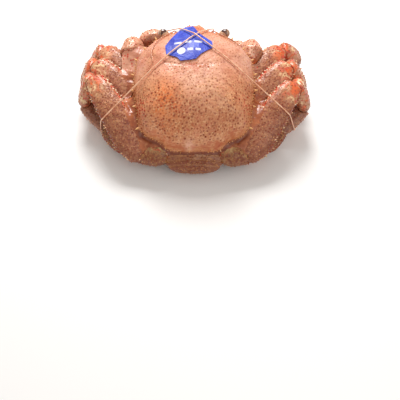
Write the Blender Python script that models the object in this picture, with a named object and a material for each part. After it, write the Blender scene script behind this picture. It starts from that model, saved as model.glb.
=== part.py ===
# Boiled horsehair crab with its legs folded and tied in elastic, life size, in metres.
# X runs to the crab's right, Y to its front and Z up, and the crab rests on the floor at Z = 0.
# The body has a frame of its own, tipped nose up, because the claws are folded under the front.

import math
import random

import bmesh
import bpy
from mathutils import Matrix, Vector
from mathutils.bvhtree import BVHTree
from mathutils.geometry import convex_hull_2d, delaunay_2d_cdt

MM = 0.001
GAP = 0.4 * MM                      # clearance left between pieces that touch
BODY_TILT = math.radians(14)
BODY_CENTRE = Vector((0, 1.4, 53.2)) * MM
BODY = Matrix.Translation(BODY_CENTRE) @ Matrix.Rotation(BODY_TILT, 4, "X")
SEED = 11

# The carapace seen from above: its reach from the centre, in mm, at angles from the front to the rear.
OUTLINE_ANGLES = (0, 7, 14, 22, 32, 45, 60, 77, 95, 110, 126, 134, 146, 156, 168, 180)
OUTLINE_REACH = (58, 57.3, 54.8, 54.5, 56.3, 57, 58.5, 55.5, 54, 54.5, 60.3, 61.5, 58.3, 60, 58.4, 57.2)
DOME_HEIGHT = 29 * MM               # crown above the side margins
FRONT_RISE = 8 * MM                 # front margin above the side margins
REAR_DROP = 12 * MM                 # rear margin below the side margins
RIM_DEPTH = 13 * MM                 # underside of the carapace below the side margins
TRUNK_DEPTH = 32 * MM               # breast plate below the side margins

# Swellings of the shell over the stomach, heart, gills and liver: x, y, radius, height, in mm.
SWELLINGS = (
    (0, 20, 17, 1.6),
    (0, -24, 13, 1.4),
    (30, -8, 17, 1.5),
    (-30, -8, 17, 1.5),
    (34, 26, 9, 1.0),
    (-34, 26, 9, 1.0),
)

# Half-widths and half-depths of a walking leg's pieces along their length, in mm; the last leg is small.
UPPER_WIDTH = (9.5, 12, 13.4, 13.8, 13.4, 12.4, 10.5)
UPPER_DEPTH = (7, 7, 6.8, 6.8, 6.8, 6.6, 6.2)
REAR_WIDTH = (10, 10.5, 9.5, 8.5, 8.5, 8.5, 7)
REAR_DEPTH = (10, 10, 8.5, 6.5, 5.4, 5, 4.5)
WRIST_WIDTH = (8.5, 10.5, 11, 9.5)
WRIST_DEPTH = (6.2, 6.6, 6.4, 5.6)
HAND_WIDTH = (8, 9.3, 9.2, 7.2)
HAND_DEPTH = (5.6, 5.8, 5.5, 4.6)
TOE_WIDTH = (6.2, 5.6, 4.4, 2.8, 0.9)
TOE_DEPTH = (4.4, 4.2, 3.4, 2.2, 0.8)

# Points down the middle of each leg, in mm: hip, bend and middle of the upper leg, knee, wrist, heel, toe tip.
LEGS = {
    "left_4": ((-41, -46, 22), (-56, -43, 25), (-70.5, -21, 40), (-94, 15, 55), (-108, 9, 25), (-74, -15, 2.9),
               (-36, -15, 9)),
    "left_3": ((-44, -8, 26), (-60, 1, 33), (-75, 17, 44), (-94, 36, 52), (-110, 34, 24), (-70, 18, 2.9),
               (-32, 12, 10)),
    "left_2": ((-42, 12, 29), (-60, 25, 37), (-74, 40, 46), (-89, 57, 49), (-105, 60, 24), (-66, 44, 2.4),
               (-31, 36, 10)),
    "left_5": ((-23, -47, 22), (-42, -49.5, 20.5), (-66, -37, 19), (-86, -17, 20), (-70, -33, 8.5), (-42, -41, 2.2),
               (-14, -38, 8)),
    "right_4": ((41, -46, 22), (55.5, -43.5, 25), (71, -20.5, 40), (92.5, 7, 55), (108, 4, 25), (74, -17, 2.9),
                (36, -16, 9)),
    "right_3": ((44, -8, 26), (58, 0, 33), (73, 15, 44), (89, 33, 53), (109, 30, 24), (70, 18, 2.9),
                (32, 12, 10)),
    "right_2": ((42, 12, 29), (58, 25, 37), (70, 40, 45), (86, 58, 49), (108, 66, 28), (66, 45, 2.4),
                (31, 37, 10)),
    "right_5": ((23, -47, 22), (42, -50, 20.5), (64, -38.5, 19), (85, -20, 20), (69, -35, 8.5), (42, -42, 2.2),
                (14, -38, 8)),
}
LEG_SCALE = {"2": 0.92, "3": 1.0, "4": 1.0, "5": 0.74}
LEG_LEAN = Vector((0.88, 0.44, 0.16))   # across a left upper leg, from its lower to its upper edge

# Half-widths and half-depths of a claw arm's pieces along their length, in mm.
ARM_WIDTH = (8, 9, 10.5, 11)
ARM_DEPTH = (7, 8, 8.5, 8.5)
CUFF_WIDTH = (9.5, 12, 12.5, 10)
CUFF_DEPTH = (8.5, 10.5, 10.5, 8.5)
PALM_WIDTH = (9, 12.5, 12.5, 9.5, 6, 4.4, 1.6)
PALM_DEPTH = (7.5, 9, 9, 7.5, 5.4, 4, 1.6)
FINGER_WIDTH = (5.5, 5.4, 4.8, 3.6, 1.4)
FINGER_DEPTH = (5.4, 5, 4.4, 3.4, 1.4)

# Points down the middle of each claw arm, in mm: hip, elbow, cuff, palm root, palm middle, palm end,
# tip of the fixed finger, root of the moving finger and its tip.
CLAWS = {
    "left": ((-36, 26, 30), (-52, 38, 41), (-61, 49, 51), (-53, 61, 51), (-40, 68, 48), (-25, 71, 40),
             (0, 69, 24), (-24, 73, 49), (4, 71, 33)),
    "right": ((36, 26, 30), (49, 38, 40), (57, 50, 49), (52, 61, 43), (43, 68, 34), (31, 71, 24),
              (6, 69, 7.5), (29, 74, 33), (3, 72, 17)),
}

EYE_WIDTH = (2.4, 2.6, 3.6, 4.2, 4.2, 3.8, 3)

# The outer jaw limbs, in the body's frame, in mm, for the right side.
JAW_PATH = ((6.6, 20, -33), (6.6, 34, -30), (6.4, 45, -22), (5, 50, -15))
JAW_WIDTH = (5.5, 6.2, 6.2, 5)
JAW_DEPTH = (3, 3.4, 3.4, 2.6)

# The tail, folded from the rear margin down and forward under the breast: y and z in the body's frame, in mm.
TAIL_BASE = ((-50, -17.5), (-61, -17), (-68, -21.5), (-66.5, -30), (-56, -35.4))
TAIL_BASE_WIDTH = (24.5, 24.5, 21, 17, 15.5)
TAIL_FLAP = ((-55, -35.8), (-40, -36), (-20, -36), (0, -35.6), (14, -34.6))
TAIL_FLAP_WIDTH = (15.5, 14, 12, 9, 5)
TAIL_DEPTH = (3.8, 4.4, 4.4, 3.8, 3)

# The feelers: roots in the body's frame, then where they lie back on the shell, in mm.
ANTENNA_RADIUS = 0.6 * MM
ANTENNA_ROOT = ((11, 53, -7), (13.4, 55.4, -2.5), (15.4, 55.2, 3), (17.4, 54.1, 8.6))
ANTENNA_LIE = {
    "left": ((-20.4, 47.6), (-25.5, 42), (-32, 36), (-35.7, 28), (-36.5, 20), (-35, 12), (-40, 5)),
    "right": ((20.4, 47.6), (25, 42), (30.5, 40), (36, 38.5), (40, 36), (42, 32)),
}

# The label on the front of the shell, in the body's frame, in mm, and the two stretched ties.
LABEL_THICKNESS = 0.5 * MM
LABEL_OUTLINE = (
    (-24.7, 25.7), (-12, 49), (-9, 51.5), (-0.9, 51.1), (4.2, 39), (15.6, 29.7), (15.7, 22.5),
    (5.5, 14.8), (1.7, 10.1), (-3.7, 9), (-11.5, 8.7), (-13.9, 11.9), (-23.5, 16.6),
)
TIE_RADIUS = 0.55 * MM
# Each tie: three points of the plane that it lies in, and its least height over the floor, in mm.
TIES = (
    ("tie_left", ((-79.8, -24.2, 43.9), (-18.8, 12.9, 83.7), (10.8, 44, 80)), 0.95),
    ("tie_right", ((83, -19, 43), (15.5, 18.2, 84.4), (-10.5, 45, 80)), 0.95),
)

# Margin teeth, as an angle from the front in degrees and a length in mm, and the number of grains on the back.
MARGIN_TEETH = ((4, 1.6), (13, 1.8), (22, 2.2), (37, 2.2), (50, 2.2), (63, 2.4), (77, 2.6), (93, 2.6), (109, 3), (127, 3.2))
BACK_GRAINS = 64

# Rows of spines on each kind of piece: start and end along it, count, quarter turns from its upper edge
# towards the face that looks out and up, length and radius in mm.
STUD_ROWS = {
    "upper": ((0.3, 0.96, 8, 0.0, 2.4, 0.9), (0.25, 0.95, 6, 0.24, 2.0, 0.85), (0.2, 0.9, 4, 0.66, 1.5, 0.85),
              (0.15, 0.9, 4, 1.1, 1.4, 0.85), (0.15, 0.9, 3, 1.55, 1.5, 0.85)),
    "wrist": ((0.15, 0.85, 3, 0.25, 1.9, 0.85), (0.1, 0.85, 3, 1.0, 1.6, 0.85), (0.15, 0.85, 3, 1.7, 1.8, 0.85)),
    "hand": ((0.25, 0.8, 2, 0.5, 1.4, 0.8), (0.25, 0.8, 2, 1.5, 1.4, 0.8)),
    "claw_arm": ((0.3, 0.9, 3, 0.0, 2.0, 0.9),),
    "claw_wrist": ((0.2, 0.85, 4, 0.0, 2.2, 0.95), (0.2, 0.85, 4, 0.5, 2.0, 0.95), (0.2, 0.85, 3, 1.0, 2.0, 0.95),
                   (0.2, 0.85, 3, -0.6, 2.0, 0.95)),
    "claw_palm": ((0.08, 0.5, 4, 0.1, 2.0, 0.95), (0.08, 0.5, 4, 0.6, 1.8, 0.95), (0.08, 0.5, 3, 1.1, 1.8, 0.95)),
    "claw_finger": ((0.15, 0.6, 2, 0.2, 1.4, 0.8),),
}

# Finishes: linear base colour and roughness.
SHELL = ((0.56, 0.235, 0.13), 0.42)
LEG = ((0.58, 0.27, 0.16), 0.42)
PALE = ((0.66, 0.40, 0.26), 0.45)
CLAW = ((0.55, 0.29, 0.18), 0.4)
EYE = ((0.035, 0.015, 0.012), 0.12)
TAG = ((0.03, 0.07, 0.62), 0.35)
ELASTIC = ((0.86, 0.42, 0.27), 0.35)


def clear_scene():
    for obj in list(bpy.data.objects):
        bpy.data.objects.remove(obj)


def new_collection(name):
    made = bpy.data.collections.new(name)
    bpy.context.scene.collection.children.link(made)
    return made


def new_material(name, finish):
    colour, roughness = finish
    made = bpy.data.materials.new(name)
    made.use_nodes = True
    shader = made.node_tree.nodes["Principled BSDF"]
    shader.inputs["Base Color"].default_value = (*colour, 1)
    shader.inputs["Roughness"].default_value = roughness
    return made


def smooth_through(values, t):
    """The value at t, from 0 to 1, of a Catmull-Rom curve through evenly spaced values."""
    place = min(max(t, 0), 1) * (len(values) - 1)
    i = min(int(place), len(values) - 2)
    u = place - i
    b, c = values[i], values[i + 1]
    a = values[i - 1] if i else b * 2 - c
    d = values[i + 2] if i + 2 < len(values) else c * 2 - b
    return (b * 2 + (c - a) * u + (a * 2 - b * 5 + c * 4 - d) * u**2 + (b * 3 - a - c * 3 + d) * u**3) * 0.5


def hump(x, y, centre_x, centre_y, radius):
    return math.exp(-((x - centre_x) ** 2 + (y - centre_y) ** 2) / radius**2)


def reach_at(angle):
    """How far the carapace reaches from its centre, at an angle in degrees from the front."""
    angle = abs(angle)
    i = max(k for k in range(len(OUTLINE_ANGLES) - 1) if OUTLINE_ANGLES[k] <= angle)
    start, end = OUTLINE_ANGLES[i], OUTLINE_ANGLES[i + 1]
    place = (i + (angle - start) / (end - start)) / (len(OUTLINE_ANGLES) - 1)
    return smooth_through(OUTLINE_REACH, place) * MM


def margin_height(y):
    """Height of the carapace's edge above its side margins: the front rises and the rear drops."""
    share = y / (56 * MM)
    return (FRONT_RISE if y > 0 else -REAR_DROP) * share**2


def carapace_point(angle, latitude):
    """A point of the closed carapace: latitude runs from 1 at the crown, past 0 at the margin, to -1 below."""
    reach = reach_at(angle)
    sideways, forwards = math.sin(math.radians(angle)), math.cos(math.radians(angle))
    edge = margin_height(reach * forwards)
    if latitude >= 0:
        share = math.cos(latitude * math.pi / 2)
        lift = max(0.0, 1 - share**2.4) ** 0.62
        height = edge + (DOME_HEIGHT - edge) * lift
    else:
        share = 1 + 0.18 * latitude if latitude > -0.5 else 0.91 * (1 + latitude) * 2
        height = edge + (min(-RIM_DEPTH, edge - 4 * MM) - edge) * min(1, -latitude * 2)
    x, y = sideways * reach * share, forwards * reach * share
    if latitude > 0:
        swell = sum(h * hump(x / MM, y / MM, a, b, r) for a, b, r, h in SWELLINGS)
        height += swell * MM * min(1, latitude * 3)
    return Vector((x, y, height))


def globe(segments, rings):
    """A sphere primitive, and its vertices as (vertex, longitude, share of the way from the top pole)."""
    shape = bmesh.new()
    bmesh.ops.create_uvsphere(shape, u_segments=segments, v_segments=rings, radius=1)
    places = []
    for vertex in shape.verts:
        from_top = math.acos(max(-1, min(1, vertex.co.z))) / math.pi
        places.append((vertex, math.atan2(vertex.co.y, vertex.co.x), from_top))
    return shape, places


def carapace_shape(segments=38, rings=17):
    shape, places = globe(segments, rings)
    for vertex, longitude, from_top in places:
        vertex.co = BODY @ carapace_point(90 - math.degrees(longitude) if longitude > -math.pi / 2
                                          else -270 - math.degrees(longitude), 1 - 2 * from_top)
    return shape


def trunk_shape(segments=32, rings=12):
    """The breast and the walls under the carapace, down to the breast plate."""
    shape, places = globe(segments, rings)
    for vertex, longitude, from_top in places:
        angle = math.degrees(math.pi / 2 - longitude)
        angle = (angle + 180) % 360 - 180
        sideways, forwards = math.sin(math.radians(angle)), math.cos(math.radians(angle))
        down = min(1, max(0, (from_top - 0.25) * 2))
        rear = math.exp(-(((abs(angle) - 143) / 20) ** 2))
        taper = 0.34 * (1 - 0.8 * math.exp(-(((abs(angle) - 180) / 40) ** 2)))
        share = (0.91 + 0.11 * rear - taper * down**1.8) * min(1, from_top * 4, (1 - from_top) * 4)
        top = -RIM_DEPTH - (0.4 + 0.8 * rear) * MM
        reach = reach_at(angle) * share
        vertex.co = BODY @ Vector((sideways * reach, forwards * reach, top - (TRUNK_DEPTH + top) * down))
    return shape


class Limb:
    """A limb piece along a smooth path, flattened, with blunt ends. Widths and depths are halves, in mm."""

    def __init__(self, path, widths, depths, across, scale=1.0, bluntness=5):
        self.path = [Vector(p) * MM for p in path]
        self.widths, self.depths = widths, depths
        self.across, self.scale, self.bluntness = Vector(across), scale * MM, bluntness

    def frame(self, t):
        """The centre, the direction along, and the directions across and through the piece at t."""
        step = 0.02
        start, end = max(0, t - step), min(1, t + step)
        along = (smooth_through(self.path, end) - smooth_through(self.path, start)).normalized()
        across = (self.across - along * self.across.dot(along)).normalized()
        return smooth_through(self.path, t), along, across, along.cross(across)

    def surface(self, t, angle):
        """The point at t along the piece and an angle round it, from the side named by across."""
        centre, _, across, through = self.frame(t)
        cap = max(0.0, 1 - abs(2 * t - 1) ** self.bluntness) ** (1 / self.bluntness)
        wide = smooth_through(self.widths, t) * cap * self.scale
        deep = smooth_through(self.depths, t) * cap * self.scale
        c, s = math.cos(angle), math.sin(angle)
        square = (abs(c) ** 2.6 + abs(s) ** 2.6) ** (-1 / 2.6)
        return centre + across * (wide * c * square) + through * (deep * s * square)

    def outward(self, t, angle):
        """The direction that points out of the surface there."""
        step = 0.02
        round_it = self.surface(t, angle + step) - self.surface(t, angle - step)
        along_it = self.surface(min(1, t + step), angle) - self.surface(max(0, t - step), angle)
        normal = round_it.cross(along_it).normalized()
        return normal if normal.dot(self.surface(t, angle) - self.frame(t)[0]) > 0 else -normal

    def shape(self, sides=12, rings=9):
        shape, places = globe(sides, rings)
        for vertex, longitude, from_top in places:
            vertex.co = self.surface((1 - math.cos(math.pi * from_top)) / 2, longitude)
        return shape


def spine(shape, root, direction, length, radius):
    """Adds a cone to the shape, its root sunk under the surface."""
    sunk = 0.9 * MM
    sides = 5 if radius > 1.2 * MM else 3
    turn = direction.to_track_quat("Z", "Y").to_matrix().to_4x4()
    middle = Matrix.Translation(root + direction * ((length - sunk) / 2)) @ turn
    bmesh.ops.create_cone(shape, cap_ends=True, segments=sides, radius1=radius, radius2=0,
                          depth=length + sunk, matrix=middle)


def add_object(shape, name, home, finish=None):
    bmesh.ops.recalc_face_normals(shape, faces=shape.faces)
    if shape.calc_volume(signed=True) < 0:
        bmesh.ops.reverse_faces(shape, faces=shape.faces)
    mesh = bpy.data.meshes.new(name)
    shape.to_mesh(mesh)
    shape.free()
    made = bpy.data.objects.new(name, mesh)
    home.objects.link(made)
    if finish:
        mesh.materials.append(new_material(name, finish))
    return made


def swollen(obj, name, home, by=GAP):
    """A copy of an object with its surface moved outwards, for cutting its neighbours clear of it."""
    shape = bmesh.new()
    shape.from_mesh(obj.data)
    shape.normal_update()
    moved = [v.co + v.normal * by for v in shape.verts]
    for vertex, place in zip(shape.verts, moved):
        vertex.co = place
    cutter = add_object(shape, name, home)
    cutter.hide_render = True
    cutter.display_type = "WIRE"
    return cutter


def tree_of(obj):
    shape = bmesh.new()
    shape.from_mesh(obj.data)
    tree = BVHTree.FromBMesh(shape)
    shape.free()
    return tree


def apply_modifiers(obj):
    """Replaces the object's mesh by its evaluated mesh, less any scrap that a cut has loosened."""
    bpy.context.view_layer.update()
    graph = bpy.context.evaluated_depsgraph_get()
    mesh = bpy.data.meshes.new_from_object(obj.evaluated_get(graph))
    obj.modifiers.clear()
    obj.data = mesh
    shape = bmesh.new()
    shape.from_mesh(mesh)
    bmesh.ops.remove_doubles(shape, verts=shape.verts, dist=0.000002)
    left, shells = set(shape.faces), []
    while left:
        found, edge = set(), [left.pop()]
        while edge:
            face = edge.pop()
            found.add(face)
            near = {f for e in face.edges for f in e.link_faces} & left
            left -= near
            edge.extend(near)
        shells.append(found)
    kept = max(shells, key=lambda faces: sum(f.calc_area() for f in faces))
    bmesh.ops.delete(shape, geom=[f for f in shape.faces if f not in kept], context="FACES")
    bmesh.ops.delete(shape, geom=[v for v in shape.verts if not v.link_faces], context="VERTS")
    shape.to_mesh(mesh)
    shape.free()


def combine(obj, other, operation):
    modifier = obj.modifiers.new(operation.lower(), "BOOLEAN")
    modifier.operation = operation
    modifier.object = other
    modifier.solver = "MANIFOLD"
    return modifier


def box_of(obj):
    corners = [v.co for v in obj.data.vertices]
    return [min(c[i] for c in corners) for i in range(3)], [max(c[i] for c in corners) for i in range(3)]


def boxes_meet(a, b):
    return all(a[0][i] <= b[1][i] and b[0][i] <= a[1][i] for i in range(3))


def leg_pieces(key):
    """The four pieces of a walking leg, from the hip outwards, as (name, limb, finish, sides, rings)."""
    side, number = key.split("_")
    hip, bend, middle, knee, wrist, heel, tip = (Vector(p) for p in LEGS[key])
    lean = Vector(LEG_LEAN)
    if side == "right":
        lean.x = -lean.x
    level = Vector((0, 1, 0.15))
    size = LEG_SCALE[number]
    path = (hip, bend, middle, knee)
    if number == "5":
        upper = Limb(path, REAR_WIDTH, REAR_DEPTH, lean)
    else:
        upper = Limb(path, UPPER_WIDTH, UPPER_DEPTH, lean, size)
    return (
        (f"leg_{key}_upper", upper, LEG, 12, 9),
        (f"leg_{key}_wrist", Limb((knee, (knee + wrist) / 2, wrist), WRIST_WIDTH, WRIST_DEPTH, (0, 1, 0), size),
         LEG, 10, 7),
        (f"leg_{key}_hand", Limb((wrist, (wrist + heel) / 2, heel), HAND_WIDTH, HAND_DEPTH, level, size),
         PALE, 10, 7),
        (f"leg_{key}_toe", Limb((heel, (heel + tip) / 2, tip), TOE_WIDTH, TOE_DEPTH, level, size), PALE, 8, 7),
    )


def claw_pieces(side):
    hip, elbow, cuff, root, middle, end, fixed, hinge, free = (Vector(p) for p in CLAWS[side])
    upright = Vector((0, 0.25, 1))
    outer = Vector((0.3 if side == "left" else -0.3, 0.2, 1))
    return (
        (f"claw_{side}_arm", Limb((hip, elbow), ARM_WIDTH, ARM_DEPTH, outer), LEG, 10, 7),
        (f"claw_{side}_wrist", Limb((elbow, cuff, root), CUFF_WIDTH, CUFF_DEPTH, outer), LEG, 12, 8),
        (f"claw_{side}_palm", Limb((root, middle, end, (end + fixed) / 2, fixed), PALM_WIDTH, PALM_DEPTH, upright),
         CLAW, 12, 12),
        (f"claw_{side}_finger", Limb((hinge, (hinge + free) / 2 + Vector((0, 1, 2)), free),
                                     FINGER_WIDTH, FINGER_DEPTH, upright), CLAW, 10, 8),
    )


def body_path(points):
    return [(BODY @ (Vector(p) * MM)) / MM for p in points]


def eye_shape(side):
    """An eyeball on a short stalk that lies in the orbit."""
    ball = body_path(((side * 28.5, 50, 10),))[0]
    root = body_path(((side * 20, 46, 6),))[0]
    return Limb((root, (root + ball) / 2, ball, ball + (ball - root) * 0.32), EYE_WIDTH, EYE_WIDTH, (0, 0, 1),
                bluntness=2.2).shape(12, 10)


def tube(points, radii, sides, around=None):
    """A round tube along points; it closes on itself where around gives the normal of its plane."""
    shape = bmesh.new()
    count = len(points)
    rings = []
    side = Vector((0, 0, 1))
    for i, place in enumerate(points):
        before = points[i - 1] if i or around else place
        after = points[(i + 1) % count] if i + 1 < count or around else place
        along = (after - before).normalized()
        side = (around or side) - along * (around or side).dot(along)
        side.normalize()
        other = along.cross(side)
        ring = []
        for k in range(sides):
            turn = 2 * math.pi * k / sides
            ring.append(shape.verts.new(place + (side * math.cos(turn) + other * math.sin(turn)) * radii[i]))
        rings.append(ring)
    for i in range(count if around else count - 1):
        ring, following = rings[i], rings[(i + 1) % count]
        for k in range(sides):
            shape.faces.new((ring[k], ring[(k + 1) % sides], following[(k + 1) % sides], following[k]))
    if not around:
        shape.faces.new(rings[0])
        shape.faces.new(list(reversed(rings[-1])))
    return shape


def drape(tree, x, y, above):
    """The point at a height above the shell, over a place in the body's frame, in mm."""
    down = (BODY.to_3x3() @ Vector((0, 0, -1))).normalized()
    start = BODY @ (Vector((x, y, 80)) * MM)
    place, normal, _, _ = tree.ray_cast(start, down)
    return place + normal * above


def antenna_shape(side, tree):
    thick = ANTENNA_RADIUS
    path = [BODY @ (Vector((side * x, y, z)) * MM) for x, y, z in ANTENNA_ROOT]
    path += [drape(tree, x, y, thick + GAP * 1.6) for x, y in ANTENNA_LIE["left" if side < 0 else "right"]]
    smooth = [smooth_through(path, i / 22) for i in range(23)]
    radii = [thick * (1.9 if i < 3 else 1.35 if i < 5 else 1.0 if i < 18 else 0.75) for i in range(23)]
    return tube(smooth, radii, 5)


def label_shape(tree):
    """The sheet that lies on the shell under the ties, cut to its outline and bent over the dome."""
    outline = []
    for a, b in zip(LABEL_OUTLINE, LABEL_OUTLINE[1:] + LABEL_OUTLINE[:1]):
        steps = math.ceil(math.dist(a, b) / 4.2)
        outline += [Vector(a).lerp(Vector(b), i / steps) for i in range(steps)]
    grid = [Vector((i * 4.2, j * 4.2)) for i in range(-7, 5) for j in range(1, 13)]
    inside = [spot for spot in grid if edge_gap(outline, spot) > 1.8 and within(outline, spot)]
    edges = [(i, (i + 1) % len(outline)) for i in range(len(outline))]
    flat, _, faces, *_ = delaunay_2d_cdt(outline + inside, edges, [], 1, 0.0001)
    shape = bmesh.new()
    lower = [shape.verts.new(drape(tree, p.x, p.y, GAP * 1.4)) for p in flat]
    upper = [shape.verts.new(drape(tree, p.x, p.y, GAP * 1.4 + LABEL_THICKNESS)) for p in flat]
    count = len(outline)
    for face in faces:
        shape.faces.new([upper[i] for i in face])
        shape.faces.new([lower[i] for i in reversed(face)])
    for i in range(count):
        j = (i + 1) % count
        shape.faces.new((lower[i], lower[j], upper[j], upper[i]))
    return shape


def within(outline, spot):
    inside = False
    for a, b in zip(outline, outline[1:] + outline[:1]):
        if (a.y > spot.y) != (b.y > spot.y) and spot.x < (b.x - a.x) * (spot.y - a.y) / (b.y - a.y) + a.x:
            inside = not inside
    return inside


def edge_gap(outline, spot):
    gaps = []
    for a, b in zip(outline, outline[1:] + outline[:1]):
        share = min(1, max(0, (spot - a).dot(b - a) / (b - a).length_squared))
        gaps.append((spot - a.lerp(b, share)).length)
    return min(gaps)


def tie_path(through, pieces, lowest):
    """A stretched loop round everything that a plane through three points cuts."""
    a, b, c = (Vector(p) * MM for p in through)
    normal = (b - a).cross(c - a).normalized()
    right = normal.cross(Vector((0, 0, 1))).normalized()
    above = right.cross(normal).normalized()
    above = above if above.z > 0 else -above
    spots = []
    for obj in pieces:
        for shift in (-0.7 * MM, 0, 0.7 * MM):
            shape = bmesh.new()
            shape.from_mesh(obj.data)
            everything = shape.verts[:] + shape.edges[:] + shape.faces[:]
            bmesh.ops.bisect_plane(shape, geom=everything, plane_co=a + normal * shift, plane_no=normal,
                                   clear_inner=True, clear_outer=True)
            spots += [Vector(((v.co - a).dot(right), (v.co - a).dot(above))) for v in shape.verts]
            shape.free()
    ring = [spots[i] for i in convex_hull_2d(spots)]
    ring = [p for i, p in enumerate(ring) if (p - ring[i - 1]).length > 0.7 * MM]
    loop = []
    for i, spot in enumerate(ring):
        before = (spot - ring[i - 1]).normalized()
        after = (ring[(i + 1) % len(ring)] - spot).normalized()
        along = (before + after).normalized()
        out = Vector((along.y, -along.x)) * ((TIE_RADIUS + GAP * 1.5) / max(0.5, along.dot(before)))
        place = a + right * (spot.x + out.x) + above * (spot.y + out.y)
        place.z = max(place.z, lowest)
        loop.append(place)
    return loop, normal


def studs(name, limb, chance):
    """Where spines stand on a limb: (share of its length, angle round it, length, radius), in mm."""
    side = -1 if "left" in name else 1
    face = side * math.pi / 2
    rows = STUD_ROWS.get(name.split("_")[-1] if "claw" not in name else "claw_" + name.split("_")[-1], ())
    for start, end, count, turn, length, radius in rows:
        for i in range(count):
            t = start + (end - start) * (i + chance.uniform(0.25, 0.75)) / count
            angle = face * turn + chance.uniform(-0.1, 0.1)
            yield t, angle, length * chance.uniform(0.8, 1.15), radius * chance.uniform(0.9, 1.1)


def clear_of(trees, own, spots, room):
    for name, tree in trees.items():
        if name != own:
            for spot in spots:
                if tree.find_nearest(spot, room)[0]:
                    return False
    return True


def fit_spines(obj, wanted, trees, apart):
    """Joins the spines that stand clear of other pieces to the piece that they grow from."""
    cones = bmesh.new()
    own = trees[obj.name]
    kept = []
    for root, direction, length, radius in wanted:
        foot, normal, _, distance = own.find_nearest(root)
        if distance > 1.2 * MM or normal.dot(direction) < 0.3:
            continue
        if any((foot - other).length < apart for other in kept):
            continue
        tip = foot + direction * length
        if min(foot.z, tip.z) - radius < GAP:
            continue
        if clear_of(trees, obj.name, (foot, foot.lerp(tip, 0.5), tip), radius + GAP):
            spine(cones, foot, direction, length, radius)
            kept.append(foot)
    if not kept:
        cones.free()
        return 0
    tool = add_object(cones, f"spines_{obj.name}", bpy.data.collections["cutters"])
    tool.hide_render = True
    combine(obj, tool, "UNION")
    apply_modifiers(obj)
    return len(kept)


def carapace_spines(chance):
    """Teeth round the margin and grains over the back, as (root, direction, length, radius)."""
    turn = BODY.to_3x3()
    for side in (-1, 1):
        for angle, length in MARGIN_TEETH:
            root = carapace_point(side * angle, 0.02)
            out = Vector((side * math.sin(math.radians(angle)), math.cos(math.radians(angle)), 0.35)).normalized()
            yield BODY @ root, turn @ out, length * MM, 1.7 * MM
    for _ in range(BACK_GRAINS * 3):
        angle, latitude = chance.uniform(-180, 180), chance.random() ** 1.3
        root = carapace_point(angle, latitude)
        if chance.random() > 0.25 + 0.75 * (root.y < 0):
            continue
        ahead = carapace_point(angle + 2, latitude)
        down = carapace_point(angle, max(0, latitude - 0.02))
        out = (ahead - root).cross(down - root).normalized()
        out = out if out.z > 0 else -out
        yield BODY @ root, turn @ (out + Vector((0, -0.2, 0))).normalized(), chance.uniform(1.3, 1.9) * MM, 0.9 * MM


def centre_on_floor(pieces):
    """Moves everything together so that the middle of the crab's outline is over the origin."""
    boxes = [box_of(obj) for obj in pieces]
    low = [min(box[0][i] for box in boxes) for i in range(3)]
    high = [max(box[1][i] for box in boxes) for i in range(3)]
    shift = Matrix.Translation((-(low[0] + high[0]) / 2, -(low[1] + high[1]) / 2, -low[2]))
    for obj in pieces:
        obj.data.transform(shift)
    print("moved by", [round(v / MM, 3) for v in shift.translation], "size", [(b - a) / MM for a, b in zip(low, high)])


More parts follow.
